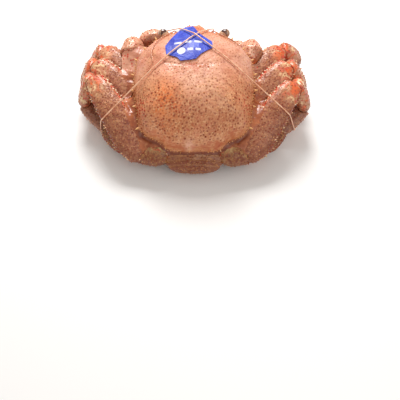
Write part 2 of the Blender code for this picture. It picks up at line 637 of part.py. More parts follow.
def main():
    clear_scene()
    home = new_collection("horsehair_crab")
    tools = new_collection("cutters")
    tools.hide_render = True

    order = [add_object(eye_shape(-1), "eye_left", home, EYE), add_object(eye_shape(1), "eye_right", home, EYE)]
    order.append(add_object(carapace_shape(), "carapace", home, SHELL))
    limbs = {}
    for key in LEGS:
        for name, *about in leg_pieces(key):
            limbs[name] = about
    for side in CLAWS:
        for name, *about in claw_pieces(side):
            limbs[name] = about
    for rank in ("_4_upper", "_3_upper", "_2_upper", "_5_upper", "finger", "palm", "left_wrist", "right_wrist",
                 "arm", "_wrist", "hand", "toe"):
        for name, (limb, finish, sides, rings) in limbs.items():
            if name.endswith(rank) and name not in [obj.name for obj in order]:
                order.append(add_object(limb.shape(sides, rings), name, home, finish))
    for side in (-1, 1):
        name = "maxilliped_left" if side < 0 else "maxilliped_right"
        path = body_path([(side * x, y, z) for x, y, z in JAW_PATH])
        limb = Limb(path, JAW_WIDTH, JAW_DEPTH, (1, 0, 0), bluntness=6)
        order.append(add_object(limb.shape(10, 8), name, home, PALE))
    order.append(add_object(trunk_shape(28, 10), "breast", home, PALE))
    for name, path, widths in (("tail_base", TAIL_BASE, TAIL_BASE_WIDTH), ("tail_flap", TAIL_FLAP, TAIL_FLAP_WIDTH)):
        limb = Limb(body_path([(0, y, z) for y, z in path]), widths, TAIL_DEPTH, (1, 0, 0), bluntness=4)
        order.append(add_object(limb.shape(14, 12), name, home, PALE))

    boxes = [box_of(obj) for obj in order]
    cutters = [swollen(obj, f"round_{obj.name}", tools) for obj in order]
    floor = bmesh.new()
    bmesh.ops.create_cube(floor, size=1, matrix=Matrix.Translation((0, 0, -0.5)))
    floor = add_object(floor, "floor", tools)
    floor.hide_render = True
    antenna_tree = tree_of(order[2])
    for i, obj in enumerate(order):
        for j in range(i):
            if boxes_meet(boxes[i], boxes[j]) and tree_of(obj).overlap(tree_of(cutters[j])):
                combine(obj, cutters[j], "DIFFERENCE")
        if boxes[i][0][2] < 0:
            combine(obj, floor, "DIFFERENCE")
        if obj.modifiers:
            apply_modifiers(obj)

    body = list(order)
    for side in (-1, 1):
        name = "antenna_left" if side < 0 else "antenna_right"
        order.append(add_object(antenna_shape(side, antenna_tree), name, home, LEG))
    order.append(add_object(label_shape(antenna_tree), "label", home, TAG))
    ties = []
    for name, through, lowest in TIES:
        path, normal = tie_path(through, order, lowest * MM)
        tie = add_object(tube(path, [TIE_RADIUS] * len(path), 6, normal), name, home, ELASTIC)
        cutter = add_object(tube(path, [TIE_RADIUS + GAP * 0.9] * len(path), 6, normal), f"round_{name}", tools)
        cutter.hide_render = True
        ties.append((tie, cutter))
        order.append(tie)
    for obj in body:
        for tie, cutter in ties:
            if tree_of(obj).overlap(tree_of(cutter)):
                combine(obj, cutter, "DIFFERENCE")
                apply_modifiers(obj)

    trees = {obj.name: tree_of(obj) for obj in order}
    chance = random.Random(SEED)
    total = fit_spines(bpy.data.objects["carapace"], list(carapace_spines(chance)), trees, 4.2 * MM)
    for name, (limb, *_) in limbs.items():
        wanted = []
        for t, angle, length, radius in studs(name, limb, chance):
            out = limb.outward(t, angle)
            wanted.append((limb.surface(t, angle), out, length * MM, radius * MM))
        total += fit_spines(bpy.data.objects[name], wanted, trees, 2.6 * MM)
    print("spines", total)
    centre_on_floor(order)


main()
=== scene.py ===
# The looks of a boiled horsehair crab, its legs folded and tied, built over its solids.
# Metres, with the crab's right at +X, its front at +Y and the floor at Z = 0, as in the solids.

import math

import bmesh
import bpy
import numpy as np
from mathutils import Matrix, Vector, noise
from mathutils.bvhtree import BVHTree
from mathutils.kdtree import KDTree


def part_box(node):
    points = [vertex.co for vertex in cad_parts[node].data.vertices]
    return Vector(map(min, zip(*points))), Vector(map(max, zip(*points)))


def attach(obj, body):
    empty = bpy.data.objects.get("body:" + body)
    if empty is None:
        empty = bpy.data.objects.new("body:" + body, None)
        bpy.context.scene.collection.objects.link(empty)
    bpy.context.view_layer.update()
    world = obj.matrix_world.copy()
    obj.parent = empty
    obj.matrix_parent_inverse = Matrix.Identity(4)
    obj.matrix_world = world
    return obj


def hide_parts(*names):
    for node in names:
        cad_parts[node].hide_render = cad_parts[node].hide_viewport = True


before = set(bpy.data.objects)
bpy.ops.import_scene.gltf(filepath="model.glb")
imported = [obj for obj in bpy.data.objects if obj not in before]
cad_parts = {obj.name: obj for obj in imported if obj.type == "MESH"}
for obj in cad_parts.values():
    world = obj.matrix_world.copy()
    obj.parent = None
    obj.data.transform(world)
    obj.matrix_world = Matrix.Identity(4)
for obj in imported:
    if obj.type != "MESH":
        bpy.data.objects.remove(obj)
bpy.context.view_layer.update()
MM = 0.001
bpy.ops.object.select_all(action="DESELECT")


# View. The camera looks down on the crab from behind it, 61 degrees above the floor.
# The light is a bright room, with a strong lamp over the crab's front and a weak one behind the camera.

CAMERA_PLACE, CAMERA_PITCH = (0.0007, -0.2748, 0.327), 29
SENSOR_WIDTH = 36
# The lens and the picture's shift sideways, as shares of the picture's width.
LENS_SHARE, SHIFT_SHARE = 407 / 400, 6 / 400
ROOM_COLOUR, ROOM_STRENGTH = (1, 0.955, 0.905, 1), 0.55
# Each lamp as its place, its power in watts and its side in metres, and the place that they face.
LAMPS = (((-0.05, 0.46, 0.6), 6.2, 0.3), ((0.35, -0.45, 0.6), 1.2, 0.6))
LAMP_TARGET = (0, 0, 0.04)

bpy.ops.object.camera_add(location=CAMERA_PLACE, rotation=(math.radians(CAMERA_PITCH), 0, 0))
camera = bpy.context.object
camera.data.sensor_width = SENSOR_WIDTH
camera.data.lens = SENSOR_WIDTH * LENS_SHARE
camera.data.shift_x = SHIFT_SHARE
camera.data.clip_start = 0.01
bpy.context.scene.camera = camera
bpy.context.scene.view_settings.view_transform = "Standard"

room = bpy.data.worlds.new("room")
room.use_nodes = True
room.node_tree.nodes["Background"].inputs["Color"].default_value = ROOM_COLOUR
room.node_tree.nodes["Background"].inputs["Strength"].default_value = ROOM_STRENGTH
bpy.context.scene.world = room

for place, power, size in LAMPS:
    bpy.ops.object.light_add(type="AREA", location=place)
    lamp = bpy.context.object
    lamp.data.energy = power
    lamp.data.size = size
    lamp.rotation_euler = (Vector(LAMP_TARGET) - Vector(place)).to_track_quat("-Z", "Y").to_euler()


# Carapace. One shell plate of boiled chitin, domed and grained, with a toothed edge all round.
# It is shaped in the body's own frame, which is tipped nose up, from the outline seen from above.

BODY = Matrix.Translation(Vector((0.707, -7.16, 53.2)) * MM) @ Matrix.Rotation(math.radians(14), 4, "X")
OUTLINE_ANGLES = (0, 7, 14, 22, 32, 45, 60, 77, 95, 110, 126, 134, 146, 156, 168, 180)
OUTLINE_REACH = (58, 57.3, 54.8, 54.5, 56.3, 57, 58.5, 55.5, 54, 54.5, 60.3, 61.5, 58.3, 60, 58.4, 57.2)
DOME_HEIGHT = 29
FRONT_RISE = 8
REAR_DROP = 12
RIM_DEPTH = 13
FRONT_DEPTH = 3.5
# Swellings over the stomach, heart, gills and liver, as x, y, radius and height in mm.
SWELLINGS = ((0, 20, 17, 1.2), (0, -24, 13, 1.2), (30, -8, 17, 1.2), (-30, -8, 17, 1.2), (34, 26, 9, 0.7),
             (-34, 26, 9, 0.7), (12, 34, 7, 0.4), (-12, 34, 7, 0.4), (40, -30, 9, 0.7), (-40, -30, 9, 0.7))
# Grooves between them, on the right half, as two ends, a half-width and a depth in mm.
GROOVES = (((10, 6), (8, -9), 2.4, 0.3), ((8, -9), (14, -22), 2.6, 0.25), ((10, 6), (24, 9), 1.8, 0.45),
           ((24, 9), (40, 20), 2.8, 0.3), ((3, -8), (8, -9), 1.6, 0.2), ((5, 38), (4, 50), 1.6, 0.6),
           ((0, 5), (10, 6), 1.8, 0.3), ((16, -44), (34, -38), 2.6, 0.35))
# Teeth of the edge, as an angle from the front in degrees and a length in mm.
TEETH = ((4, 1.9), (13, 2.2), (22, 2.6), (37, 2.8), (50, 2.6), (63, 2.8), (77, 3), (93, 3), (109, 3.4),
         (127, 3.8))
# Small teeth stand between them, at angles given as the first, the limit and the step in degrees.
SMALL_TEETH = (1.5, 168, 2.6)
# The eye sockets' angle from the front in degrees, their depth in mm and the carapace's mean reach in mm.
EYE_ANGLE, SOCKET_DEPTH, MEAN_REACH = 30, 5.5, 57


def smooth_reach(angles):
    """How far the carapace reaches at each angle from the front, in mm, along a smooth curve."""
    angles = np.abs(angles)
    last = len(OUTLINE_REACH) - 1
    i = np.clip(np.searchsorted(OUTLINE_ANGLES, angles, side="right") - 1, 0, last - 1)
    known = np.array(OUTLINE_ANGLES, float)
    reach = np.array((OUTLINE_REACH[1],) + OUTLINE_REACH + (OUTLINE_REACH[-2],))
    u = (angles - known[i]) / (known[i + 1] - known[i])
    a, b, c, d = reach[i], reach[i + 1], reach[i + 2], reach[i + 3]
    return 0.5 * (2 * b + (c - a) * u + (2 * a - 5 * b + 4 * c - d) * u**2 + (3 * b - a - 3 * c + d) * u**3)


def step(values, low, high):
    """A smooth climb from 0 at low to 1 at high, or the other way down where low is the larger."""
    share = np.clip((values - low) / (high - low), 0, 1)
    return share * share * (3 - 2 * share)


def bell(values, width):
    return np.exp(-((values / width) ** 2))


def groove_depth(x, y):
    """How deep the carapace's grooves are at a place, in mm."""
    depth_here = 0
    for (ax, ay), (bx, by), width, depth in GROOVES:
        length = (bx - ax) ** 2 + (by - ay) ** 2
        along = np.clip(((np.abs(x) - ax) * (bx - ax) + (y - ay) * (by - ay)) / length, 0, 1)
        gap = np.hypot(np.abs(x) - ax - (bx - ax) * along, y - ay - (by - ay) * along)
        depth_here = np.maximum(depth_here, depth * bell(gap, width))
    return depth_here


def carapace_places(angles, latitudes):
    """Places in the body's frame, in mm. Latitude is 1 at the crown, 0 at the edge and -1 below it."""
    reach = smooth_reach(angles)
    sideways, forwards = np.sin(np.radians(angles)), np.cos(np.radians(angles))
    edge_y = reach * forwards
    edge = np.where(edge_y > 0, FRONT_RISE, -REAR_DROP) * (edge_y / 56) ** 2
    top = np.clip(latitudes, 0, 1)
    share_top = np.cos(top * math.pi / 2)
    height_top = edge + (DOME_HEIGHT - edge) * np.maximum(0, 1 - share_top**2.4) ** 0.62
    low = np.clip(-latitudes, 0, 1)
    share_low = np.where(low < 0.5, 1 - 0.18 * low, 1.82 * (1 - low))
    bottom = np.minimum(-RIM_DEPTH, edge - 4) - FRONT_DEPTH * step(edge_y, 8, 30)
    height_low = edge + (bottom - edge) * np.minimum(1, low * 2)
    share = np.where(latitudes >= 0, share_top, share_low)
    height = np.where(latitudes >= 0, height_top, height_low)
    x, y = sideways * reach * share, edge_y * share
    swell = sum(h * np.exp(-((x - a) ** 2 + (y - b) ** 2) / r**2) for a, b, r, h in SWELLINGS)
    height = height + np.where(latitudes > 0, (swell - groove_depth(x, y)) * np.minimum(1, latitudes * 3), 0)
    rim = bell(latitudes - 0.03, 0.03) * step(np.abs(angles), 60, 110)
    return np.stack((x, y, height + 0.7 * rim), 1)


def to_world(places):
    """Places in the body's frame, in mm, as places in the crab's frame, in metres."""
    turn = np.array(BODY)
    return places * MM @ turn[:3, :3].T + turn[:3, 3]


def to_body(points):
    turn = np.array(BODY.inverted())
    return (points @ turn[:3, :3].T + turn[:3, 3]) / MM


def unit(arrows):
    """Directions made one long."""
    return arrows / np.maximum(np.linalg.norm(arrows, axis=1), 1e-9)[:, None]


def read_points(piece):
    """The places and outward directions of a piece's vertices."""
    count = len(piece.data.vertices)
    points, outward = np.zeros(count * 3, np.float32), np.zeros(count * 3, np.float32)
    piece.data.vertices.foreach_get("co", points)
    piece.data.vertex_normals.foreach_get("vector", outward)
    return points.reshape(-1, 3).astype(float), outward.reshape(-1, 3).astype(float)


def write_points(piece, points):
    piece.data.vertices.foreach_set("co", points.astype(np.float32).ravel())
    piece.data.update()


def unevenness(points, wave, seed):
    """Smooth random heights, about -1 to 1, with bumps about as wide as wave, in mm."""
    shift = Vector((seed * 7.3, seed * 3.1, seed * 5.7))
    return np.array([noise.noise(Vector(p) / (wave * MM) + shift) for p in points])


def set_masks(piece, masks):
    """Numbers for each vertex, which the materials read by name."""
    for name, values in masks.items():
        layer = piece.data.attributes.get(name) or piece.data.attributes.new(name, "FLOAT", "POINT")
        layer.data.foreach_set("value", np.asarray(values, np.float32))


def put_in_order(piece):
    """Lists the faces in a set order. The sphere tool's own order differs from run to run."""
    rings = []
    for face in piece.data.polygons:
        ring = list(face.vertices)
        first = ring.index(min(ring))
        rings.append(ring[first:] + ring[:first])
    points = [vertex.co.copy() for vertex in piece.data.vertices]
    piece.data.clear_geometry()
    piece.data.from_pydata(points, [], sorted(rings))


bpy.ops.mesh.primitive_uv_sphere_add(segments=440, ring_count=190, radius=1, location=(0, 0, 0))
carapace = bpy.context.object
carapace.name = "carapace_shell"
put_in_order(carapace)
points, outward = read_points(carapace)
angles = np.degrees(np.arctan2(points[:, 0], points[:, 1]))
latitudes = 1 - 2 * np.arccos(np.clip(points[:, 2], -1, 1)) / math.pi
latitudes = np.sign(latitudes) * np.abs(latitudes) ** 1.25
places = carapace_places(angles, latitudes)
turned = np.abs(angles)
socket = bell(turned - EYE_ANGLE, 5.5) * bell(latitudes + 0.03, 0.2)
brow = 1.3 * bell(turned - 19, 4) + bell(turned - 39, 2.6) + bell(turned - 6, 3)
brow = brow * bell(latitudes - 0.02, 0.12)
lobes = sum(length * bell(turned - angle, 2.2) for angle, length in TEETH) * bell(latitudes - 0.01, 0.09)
folds = bell(turned - 4, 2.2) + bell(turned - 17, 3) - 1.6 * bell(turned - 10.5, 2.6)
folds = folds * bell(latitudes + 0.2, 0.08)
mouth_edge = (bell(latitudes + 0.4, 0.035) - 0.8 * bell(latitudes + 0.31, 0.04)) * step(turned, 62, 30)
cheek = unevenness(to_world(places), 6, 7) * bell(latitudes + 0.3, 0.2)
out = 0.45 * lobes + 1.3 * brow + 1.6 * folds + 1.3 * mouth_edge + 0.8 * cheek - SOCKET_DEPTH * socket
places[:, :2] *= (1 + out / MEAN_REACH)[:, None]
write_points(carapace, to_world(places))
points, outward = read_points(carapace)
heights = 0.3 * unevenness(points, 9, 1) + 0.18 * unevenness(points, 3.2, 2)
heights += 0.11 * unevenness(points, 1.3, 3)
write_points(carapace, points + outward * (heights * MM)[:, None])
bpy.ops.object.shade_smooth()


class Value:
    """A number or colour on its way through a material. A sum on it adds its Math nodes."""

    def __init__(self, paint, socket):
        self.paint = paint
        self.socket = socket

    def math(self, operation, first, second):
        return self.paint.node("Math", {"operation": operation}, {0: first, 1: second})

    def __add__(self, other):
        return self.math("ADD", self, other)

    def __radd__(self, other):
        return self.math("ADD", other, self)

    def __sub__(self, other):
        return self.math("SUBTRACT", self, other)

    def __rsub__(self, other):
        return self.math("SUBTRACT", other, self)

    def __mul__(self, other):
        return self.math("MULTIPLY", self, other)

    def __rmul__(self, other):
        return self.math("MULTIPLY", other, self)

    def size(self):
        """This number without its sign."""
        return self.paint.node("Math", {"operation": "ABSOLUTE"}, {0: self})

    def climb(self, low, high):
        """0 where this is under low, 1 over high and smooth between; low may be the larger."""
        settings = {"interpolation_type": "SMOOTHSTEP", "clamp": True}
        if low > high:
            return 1 - self.climb(high, low)
        return self.paint.node("MapRange", settings, {0: self, 1: low, 2: high, 3: 0.0, 4: 1.0})


class Paint:
    """A material in the making, on the object's own coordinates. Its colours are laid over one another."""

    def __init__(self, name, coat=0.0, coat_roughness=0.1, specular=0.5):
        self.material = bpy.data.materials.new(name)
        self.material.use_nodes = True
        self.tree = self.material.node_tree
        self.shader = self.tree.nodes["Principled BSDF"]
        self.shader.inputs["Coat Weight"].default_value = coat
        self.shader.inputs["Coat Roughness"].default_value = coat_roughness
        self.shader.inputs["Specular IOR Level"].default_value = specular
        self.place = self.node("TexCoord", output="Object")
        self.ground = None

    def node(self, kind, settings=None, inputs=None, output=0):
        made = self.tree.nodes.new("ShaderNode" + kind)
        for name, value in (settings or {}).items():
            setattr(made, name, value)
        for name, value in (inputs or {}).items():
            if isinstance(value, Value):
                self.tree.links.new(value.socket, made.inputs[name])
            else:
                made.inputs[name].default_value = value
        return Value(self, made.outputs[output])

    def noise(self, wave, detail=2.0, roughness=0.5, distortion=0.0):
        """Cloudy noise from 0 to 1, with patches about as wide as wave, in mm."""
        inputs = {"Vector": self.place, "Scale": 0.5 / (wave * MM), "Detail": detail, "Roughness": roughness,
                  "Distortion": distortion}
        return self.node("TexNoise", {}, inputs)

    def cells(self, width):
        """How far each place is from the middle of its cell, in cell widths of about width mm."""
        return self.node("TexVoronoi", {}, {"Vector": self.place, "Scale": 1 / (width * MM)}, "Distance")

    def dots(self, width, radius, share):
        """Round spots on a share of cells about width mm across, with a radius in cell widths."""
        distance = self.cells(width)
        pick = Value(self, distance.socket.node.outputs["Color"])
        return distance.climb(radius, radius * 0.55) * pick.climb(0.98 - share, 1.02 - share)

    def streaks(self, wave):
        """Noise drawn out sideways to marks about as high as wave, in mm."""
        drawn = self.node("Mapping", {}, {"Vector": self.place, "Scale": (0.42, 1.2, 1.0)})
        return self.node("TexNoise", {}, {"Vector": drawn, "Scale": 0.5 / (wave * MM), "Detail": 3.0,
                                          "Roughness": 0.6, "Distortion": 0.6})

    def mask(self, name):
        return self.node("Attribute", {"attribute_name": name}, output="Fac")

    def mix(self, share, first, second):
        """A blend of two colours, each a Value or three numbers from 0 to 255."""
        first, second = (screen(*tone) if isinstance(tone, tuple) else tone for tone in (first, second))
        return self.node("Mix", {"data_type": "RGBA"}, {0: share, 6: first, 7: second}, output=2)

    def lay(self, share, tone):
        """Lays a colour over those before it: all of it where share is 1, and none where it is 0."""
        self.ground = self.mix(share, self.ground, tone)

    def finish(self, roughness, height=None, depth=0.2, coat=None):
        """Feeds the shader; height is a pattern from 0 to 1 and depth how deep it is, in mm."""
        sockets = {"Base Color": self.ground, "Roughness": roughness}
        if height is not None:
            inputs = {"Strength": 1.0, "Distance": depth * MM, "Height": height}
            sockets["Normal"] = self.node("Bump", {}, inputs)
        if coat is not None:
            sockets["Coat Weight"] = coat
        for name, value in sockets.items():
            if isinstance(value, Value):
                self.tree.links.new(value.socket, self.shader.inputs[name])
            else:
                self.shader.inputs[name].default_value = value
        return self.material


def screen(red, green, blue):
    """A colour as a screen shows it, 0 to 255, as the linear values that a shader takes."""
    linear = [c / 3294 if c <= 10 else ((c / 255 + 0.055) / 1.055) ** 2.4 for c in (red, green, blue)]
    return (*linear, 1)


def new_piece(name, mesh):
    """A mesh made a piece of the scene, ready for operators."""
    piece = bpy.data.objects.new(name, mesh)
    bpy.context.scene.collection.objects.link(piece)
    bpy.context.view_layer.objects.active = piece
    return piece


def fit(piece, material):
    """Gives a finished piece its material and the body that it rides."""
    piece.data.materials.append(material)
    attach(piece, "root")


def tree_of(spots):
    tree = KDTree(max(1, len(spots)))
    for i, spot in enumerate(spots):
        tree.insert(spot, i)
    tree.balance()
    return tree


def nearest_of(spots, places):
    """Which spot is nearest to each place, and how far off it is in mm."""
    if len(spots) == 0:
        return np.zeros(len(places), int), np.full(len(places), 1 / MM)
    tree = tree_of(spots)
    found = [tree.find(place) for place in places]
    return np.array([f[1] for f in found]), np.array([f[2] for f in found]) / MM


# The gap that stands for no spots at all, in metres.
NOWHERE = 1.0


def scatter(piece, gap, seed):
    """Places on a shell at least gap(points, outward) metres apart, and none where that is NOWHERE."""
    mesh = piece.data
    mesh.calc_loop_triangles()
    corners = np.zeros(len(mesh.loop_triangles) * 3, np.int32)
    mesh.loop_triangles.foreach_get("vertices", corners)
    corners = corners.reshape(-1, 3)
    points, outward = read_points(piece)
    a, b, c = (points[corners[:, k]] for k in range(3))
    areas = np.linalg.norm(np.cross(b - a, c - a), axis=1) / 2
    tightest = gap(points, outward)[corners].min(1)
    wanted = areas / tightest**2 * (tightest < NOWHERE)
    draw = np.random.default_rng(seed)
    count = int(wanted.sum() * 2.6)
    if count == 0:
        return np.zeros((0, 3)), np.zeros((0, 3))
    chosen = draw.choice(len(areas), size=count, p=wanted / wanted.sum())
    u, v = np.sqrt(draw.random(count)), draw.random(count)
    shares = np.stack((1 - u, u * (1 - v), u * v), 1)[:, :, None]
    spots = (points[corners[chosen]] * shares).sum(1)
    facing = unit((outward[corners[chosen]] * shares).sum(1))
    gaps = gap(spots, facing)
    tree = tree_of(spots)
    free, kept = gaps < NOWHERE, []
    for i in range(count):
        if free[i]:
            kept.append(i)
            for _, j, _ in tree.find_range(spots[i], gaps[i]):
                free[j] = False
    return spots[kept], facing[kept]


def cone_shape(rows, sides, tip, bend=0.0):
    """A closed bump or spike, as rows of radius and height from its foot and a tip bent over along x."""
    corners = []
    for radius, height in rows:
        for k in range(sides):
            turn = 2 * math.pi * k / sides
            x = radius * math.cos(turn) + bend * max(0, height) ** 2
            corners.append((x, radius * math.sin(turn), height))
    corners.append((bend * tip**2, 0, tip))
    faces = []
    for row in range(len(rows) - 1):
        for k in range(sides):
            p, q = row * sides + k, row * sides + (k + 1) % sides
            faces += [(p, q, q + sides), (p, q + sides, p + sides)]
    last = (len(rows) - 1) * sides
    faces += [(last + k, last + (k + 1) % sides, last + sides) for k in range(sides)]
    faces += [(0, k + 1, k) for k in range(1, sides - 1)]
    return np.array(corners, float), np.array(faces)


GRAIN = cone_shape(((1, -0.5), (0.95, 0.1), (0.6, 0.62)), 6, 0.78)
BRISTLE = cone_shape(((1, -0.12), (0.75, 0.45)), 3, 1, 0.5)
SPINE = cone_shape(((1, -0.2), (0.72, 0.35), (0.4, 0.75)), 6, 1, 0.1)
# The radius of a bristle's foot, in mm.
BRISTLE_WIDTH = 0.11
# Half the side of one tuft's patch of the OFBake map.
PATCH_HALF = 0.0014


def along_shell(lie, up):
    """The part of the directions lie that runs along a shell whose outward directions are up, one long."""
    return unit(lie - up * (lie * up).sum(1)[:, None])


def stamp(name, shape, spots, stand, lie, widths, heights, flat, masks):
    """One mesh of a small shape set on each spot, along stand and leaning to lie, with its OFBake map."""
    corners, faces = shape
    count, size = len(spots), len(corners)
    up = unit(stand)
    ahead = along_shell(lie, up)
    across = np.cross(up, ahead)
    x, y, z = (corners[None, :, k, None] for k in range(3))
    wide, high = widths[:, None, None], heights[:, None, None]
    places = spots[:, None] + ahead[:, None] * x * wide + across[:, None] * y * wide + up[:, None] * z * high
    triangles = (faces[None] + (np.arange(count) * size)[:, None, None]).reshape(-1, 3)
    mesh = bpy.data.meshes.new(name)
    mesh.vertices.add(count * size)
    mesh.vertices.foreach_set("co", places.astype(np.float32).ravel())
    mesh.loops.add(len(triangles) * 3)
    mesh.loops.foreach_set("vertex_index", triangles.astype(np.int32).ravel())
    mesh.polygons.add(len(triangles))
    mesh.polygons.foreach_set("loop_start", np.arange(0, len(triangles) * 3, 3, dtype=np.int32))
    mesh.update(calc_edges=True)
    patch = corners[:, :2] / np.abs(corners[:, :2]).max() * PATCH_HALF + corners[:, 2:] * 0.0001
    flat = (flat[:, None] + patch[None]).reshape(-1, 2)[triangles.ravel()]
    mesh.uv_layers.new(name="OFBake").data.foreach_set("uv", flat.astype(np.float32).ravel())
    piece = new_piece(name, mesh)
    masks = {key: np.repeat(np.broadcast_to(values, count), size) for key, values in masks.items()}
    set_masks(piece, masks | {"tip": np.tile(np.clip(corners[:, 2], 0, 1), count)})
    mesh.shade_smooth()
    return piece


def tuft(name, spots, facing, lies, count, foot, length, lift, flat, masks, draw):
    """Bristles in a small fan round each spot, lying over towards lies and lifted off the shell by lift."""
    ahead = along_shell(lies, facing)
    across = np.cross(facing, ahead)
    starts, stands = [], []
    for k in range(count):
        turn = (k - (count - 1) / 2) * 2.2 / (count - 1) + draw.normal(0, 0.25, (len(spots), 1))
        out = ahead * np.cos(turn) + across * np.sin(turn)
        starts.append(spots + out * (foot * draw.uniform(0.4, 1.1, len(spots)))[:, None])
        stands.append(facing * lift + ahead * 0.35 + out * 0.65 + draw.normal(0, 0.12, (len(spots), 3)))
    many = np.tile(np.arange(len(spots)), count)
    lengths = length[many] * draw.uniform(0.65, 1.2, len(many))
    masks = {key: values[many] for key, values in masks.items()} | {"kind": 1.0}
    return stamp(name, BRISTLE, np.concatenate(starts), np.concatenate(stands), lies[many],
                 np.full(len(many), BRISTLE_WIDTH * MM), lengths, flat[many], masks)


def joined(name, pieces):
    """Several pieces made one."""
    bpy.ops.object.select_all(action="DESELECT")
    for piece in pieces:
        piece.select_set(True)
    bpy.context.view_layer.objects.active = pieces[0]
    bpy.ops.object.join()
    pieces[0].name = name
    return pieces[0]


def round_map(points):
    """Where places come on the carapace flattened out from its crown, 0 to 1."""
    x, y, z = to_body(points).T
    down = np.arctan2(np.hypot(x, y), z + 12) / math.pi
    turn = np.arctan2(x, y)
    return np.stack((0.5 + 0.49 * down * np.sin(turn), 0.5 + 0.49 * down * np.cos(turn)), 1)


def carapace_tones(points):
    """The patterns of the carapace, such as how near the edge or how red a place is, and its height in mm."""
    x, y, z = to_body(points).T
    reach = smooth_reach(np.degrees(np.arctan2(x, y)))
    share = np.hypot(x, y) / reach
    edge_y = y / np.maximum(share, 0.05)
    edge = np.where(edge_y > 0, FRONT_RISE, -REAR_DROP) * (edge_y / 56) ** 2
    height = z - edge
    tones = {
        "back": step(y - 0.3 * np.abs(x) + 16, 18, -16),
        "low": step(y, -14, -50),
        "brow": step(y, 41, 48) * step(height, 16, 6),
        "row": bell(y - 4 + 0.006 * (x + 6) ** 2, 3.5) * step(np.abs(x + 6), 27, 17),
        "rim": step(share, 0.88, 1.0) * step(height, 8, 2),
        "orange": bell(np.hypot((x + 24) / 11, (y + 27) / 18), 1) + 0.8 * step(y - 0.12 * np.abs(x), 38, 50),
        "red": bell(np.hypot((np.abs(x) - 46) / 7, (y + 25) / 13), 1),
        # Partly painted highlight: the pale middle of the dome, and a small pale spot of the shell's own at
        # the rear.
        "pale": (0.8 * bell(np.hypot((x - 6) / 20, (y + 12) / 15), 1)
                 + bell(np.hypot((x + 4.5) / 3.6, (y + 54.5) / 3), 1)),
        "bare": step(share, 0.9, 0.96) * step(y, -36, -46),
        "seam": np.clip(groove_depth(x, y) / 0.4, 0, 1) * step(height, 4, 12),
        "under": step(height, -1, -5),
    }
    tones["orange"] = np.clip(tones["orange"], 0, 1)
    return tones, height


def carapace_gap(points, outward):
    tones, height = carapace_tones(points)
    gap = 2.1 - 0.35 * tones["rim"] + 0.1 * tones["under"] + 2.5 * tones["bare"] * (height > -3)
    return np.where(height > np.where(points[:, 1] > 0.01, -22, -12), gap * MM, NOWHERE)


spots, facing = scatter(carapace, carapace_gap, 5)
count = len(spots)
tones, _ = carapace_tones(spots)
draw = np.random.default_rng(6)
vary = draw.random(count)
away = np.array(BODY.to_3x3()) @ np.array((0, 0, 1))
lies = spots - np.array(BODY.translation)
lies -= away * (lies @ away)[:, None]
lies += 0.02 * draw.normal(0, 1, (count, 3))
clumps = step(unevenness(spots, 12, 8), -0.35, 0.3)
dark = (vary < 0.3 + 0.35 * clumps) * (0.3 + 0.7 * tones["back"]) * draw.uniform(0.6, 1, count)
dark *= 1 - 0.5 * np.clip(tones["pale"], 0, 1)
width = 0.3 + 0.2 * tones["back"] + 0.1 * tones["rim"] + 0.3 * tones["row"]
width *= 0.5 + 1.6 * draw.random(count) ** 2.2
width *= MM
pigment = 0.55 + 0.7 * draw.random(count) ** 1.6
masks = {"orange": tones["orange"], "vary": vary, "dark": dark,
         "red": np.clip(tones["red"] + 0.9 * tones["row"] * (vary > 0.45), 0, 1)}
coat = [stamp("grains", GRAIN, spots, facing, lies, width, width * (0.7 + 0.25 * tones["back"]),
              round_map(spots), masks | {"kind": 0.0})]
length = (0.7 + 0.35 * tones["back"] + 0.5 * tones["rim"] + 0.7 * tones["under"]) * MM
hairy = draw.random(count) < 0.55 + 0.45 * tones["under"] + 0.2 * tones["rim"]
coat.append(tuft("bristles", spots[hairy], facing[hairy], lies[hairy], 3, width[hairy], length[hairy], 0.6,
                 round_map(spots[hairy]), {key: values[hairy] for key, values in masks.items()}, draw))

# Teeth of the edge: the large ones of the table, and small ones all between.
teeth = []
for side in (-1, 1):
    teeth += [(side * angle, length) for angle, length in TEETH]
    for angle in np.arange(*SMALL_TEETH):
        if min(abs(angle - big) for big, _ in TEETH) > 2.4:
            teeth.append((side * (angle + draw.uniform(-0.6, 0.6)), draw.uniform(0.9, 1.8)))
tooth_angles, tooth_lengths = np.array(teeth, float).T
feet = to_world(carapace_places(tooth_angles, draw.uniform(0.0, 0.05, len(teeth))))
turn = np.radians(tooth_angles)
stand = np.stack((np.sin(turn), np.cos(turn), 0.3 + 0.2 * draw.random(len(teeth))), 1)
stand = stand @ np.array(BODY.to_3x3()).T
big = tooth_lengths > 1.85
coat.append(stamp("teeth", SPINE, feet + stand * (big * 0.5 * MM)[:, None], stand,
                  np.tile((0.0, 1, 0.3), (len(teeth), 1)), np.where(big, 1.35, 0.62) * MM,
                  tooth_lengths * 1.25 * MM, round_map(feet), {"kind": 2.0}))
carapace_coat = joined("carapace_coat", coat)

# Round the grains: a dark pigment spot under each dark one, and a paler ring outside as a painted highlight.
points, outward = read_points(carapace)
nearest, near = nearest_of(spots, points)
tones, _ = carapace_tones(points)
set_masks(carapace, tones | {"spot": bell(near, pigment[nearest]) * dark[nearest],
                             "highlight_ring": bell(near - 1.35, 0.5)})

